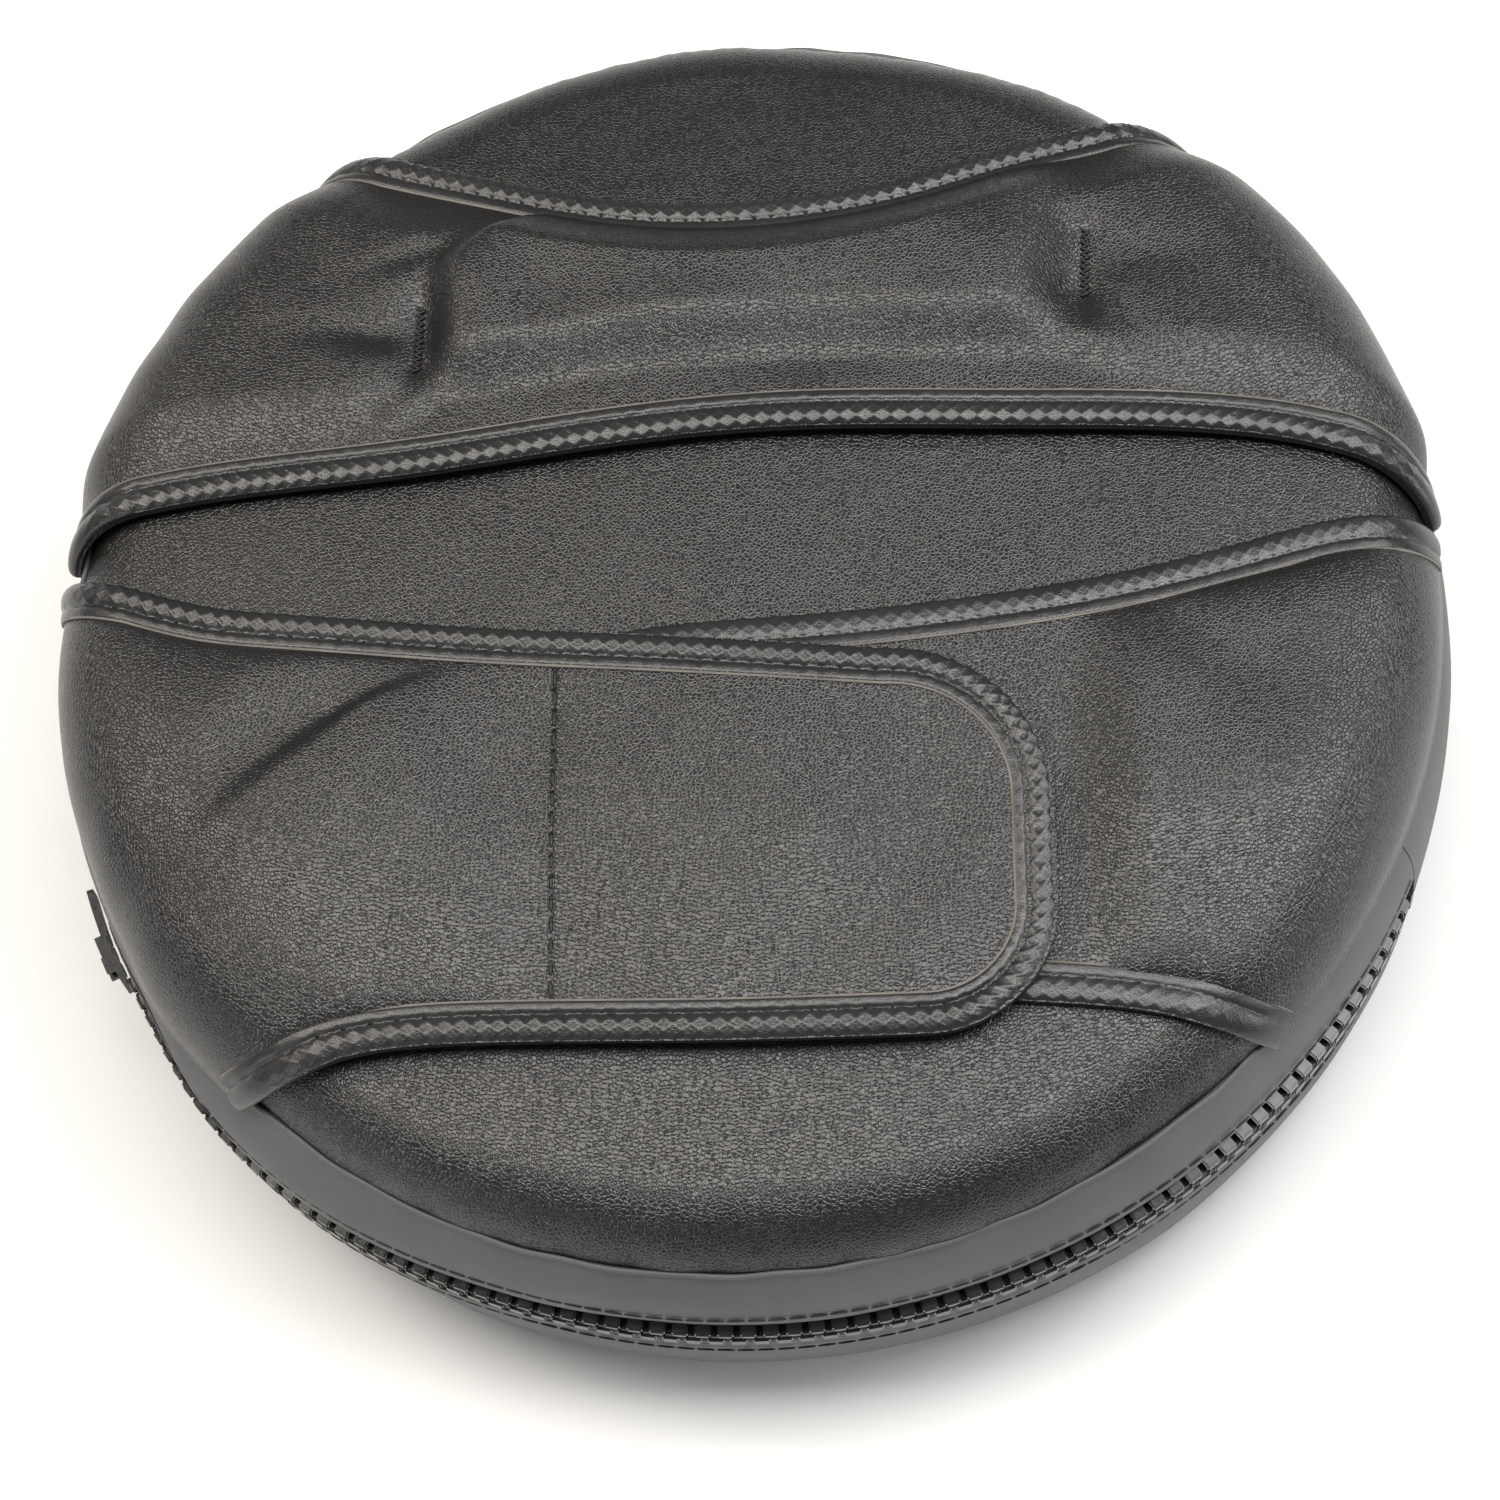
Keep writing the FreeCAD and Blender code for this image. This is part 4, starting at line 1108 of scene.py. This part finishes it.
def softbox(name, place, target, size, power, colour=(1, 1, 1)):
    lamp = bpy.data.lights.new(name, "AREA")
    lamp.shape = "RECTANGLE"
    lamp.size, lamp.size_y = size
    lamp.energy = power
    lamp.color = colour
    obj = bpy.data.objects.new(name, lamp)
    obj.location = place
    obj.rotation_euler = (Vector(target) - Vector(place)).to_track_quat("-Z", "Y").to_euler()
    bpy.context.scene.collection.objects.link(obj)


def floor():
    corners = np.array([(-6, -6, 0), (6, -6, 0), (6, 6, 0), (-6, 6, 0)], float)
    ground = make_mesh("floor", corners, [[0, 1, 2, 3]], smooth=False)
    ground.location.z = -0.0005
    ground.data.materials.append(material("pale_floor", (0.95, 0.95, 0.95), 0.9)[0])


def lights():
    world = bpy.data.worlds.new("studio")
    world.use_nodes = True
    world.node_tree.nodes["Background"].inputs["Color"].default_value = (0.95, 0.98, 1.0, 1)
    world.node_tree.nodes["Background"].inputs["Strength"].default_value = 0.17
    bpy.context.scene.world = world
    bpy.context.scene.view_settings.view_transform = "Standard"
    softbox("overhead_left", (-0.5, -0.03, 1.5), (-0.5, -0.03, 0), (1.1, 0.5), 12.5, (1.0, 0.955, 0.89))
    softbox("overhead_right", (0.65, -0.03, 1.5), (0.65, -0.03, 0), (1.2, 0.5), 15.5, (1.0, 0.985, 0.955))
    softbox("left_window", (-1.05, 0.42, 1.15), (-0.1, 0, 0.1), (0.6, 0.6), 7, (1.0, 0.90, 0.79))
    softbox("right_window", (0.95, 0.55, 1.15), (0.1, 0, 0.1), (0.6, 0.6), 7, (1.0, 0.97, 0.92))
    softbox("right_side", (1.45, -0.3, 0.55), (0.1, 0, 0.08), (0.6, 0.5), 5, (0.93, 0.97, 1.0))
    softbox("front_left", (-1.1, -1.1, 0.6), (0, 0, 0.08), (0.6, 0.5), 3, (1.0, 0.97, 0.92))


camera()
floor()
lights()
face()
walls()
seam_fold()
hems()
tapes()
zip_teeth()
cross_band()
left_strap()
flap()
right_strap()
back_panel()
hub_binding()
for node in ("hook_patch", "loop_patch"):
    keep_cad(node, FUZZ)
for node in ("zip_slider", "slider_inner_plate", "zip_pull"):
    keep_cad(node, METAL, 0.3)
keep_cad("slider_pin", METAL)
keep_cad("zip_bottom_stop", TEETH, 0.4)
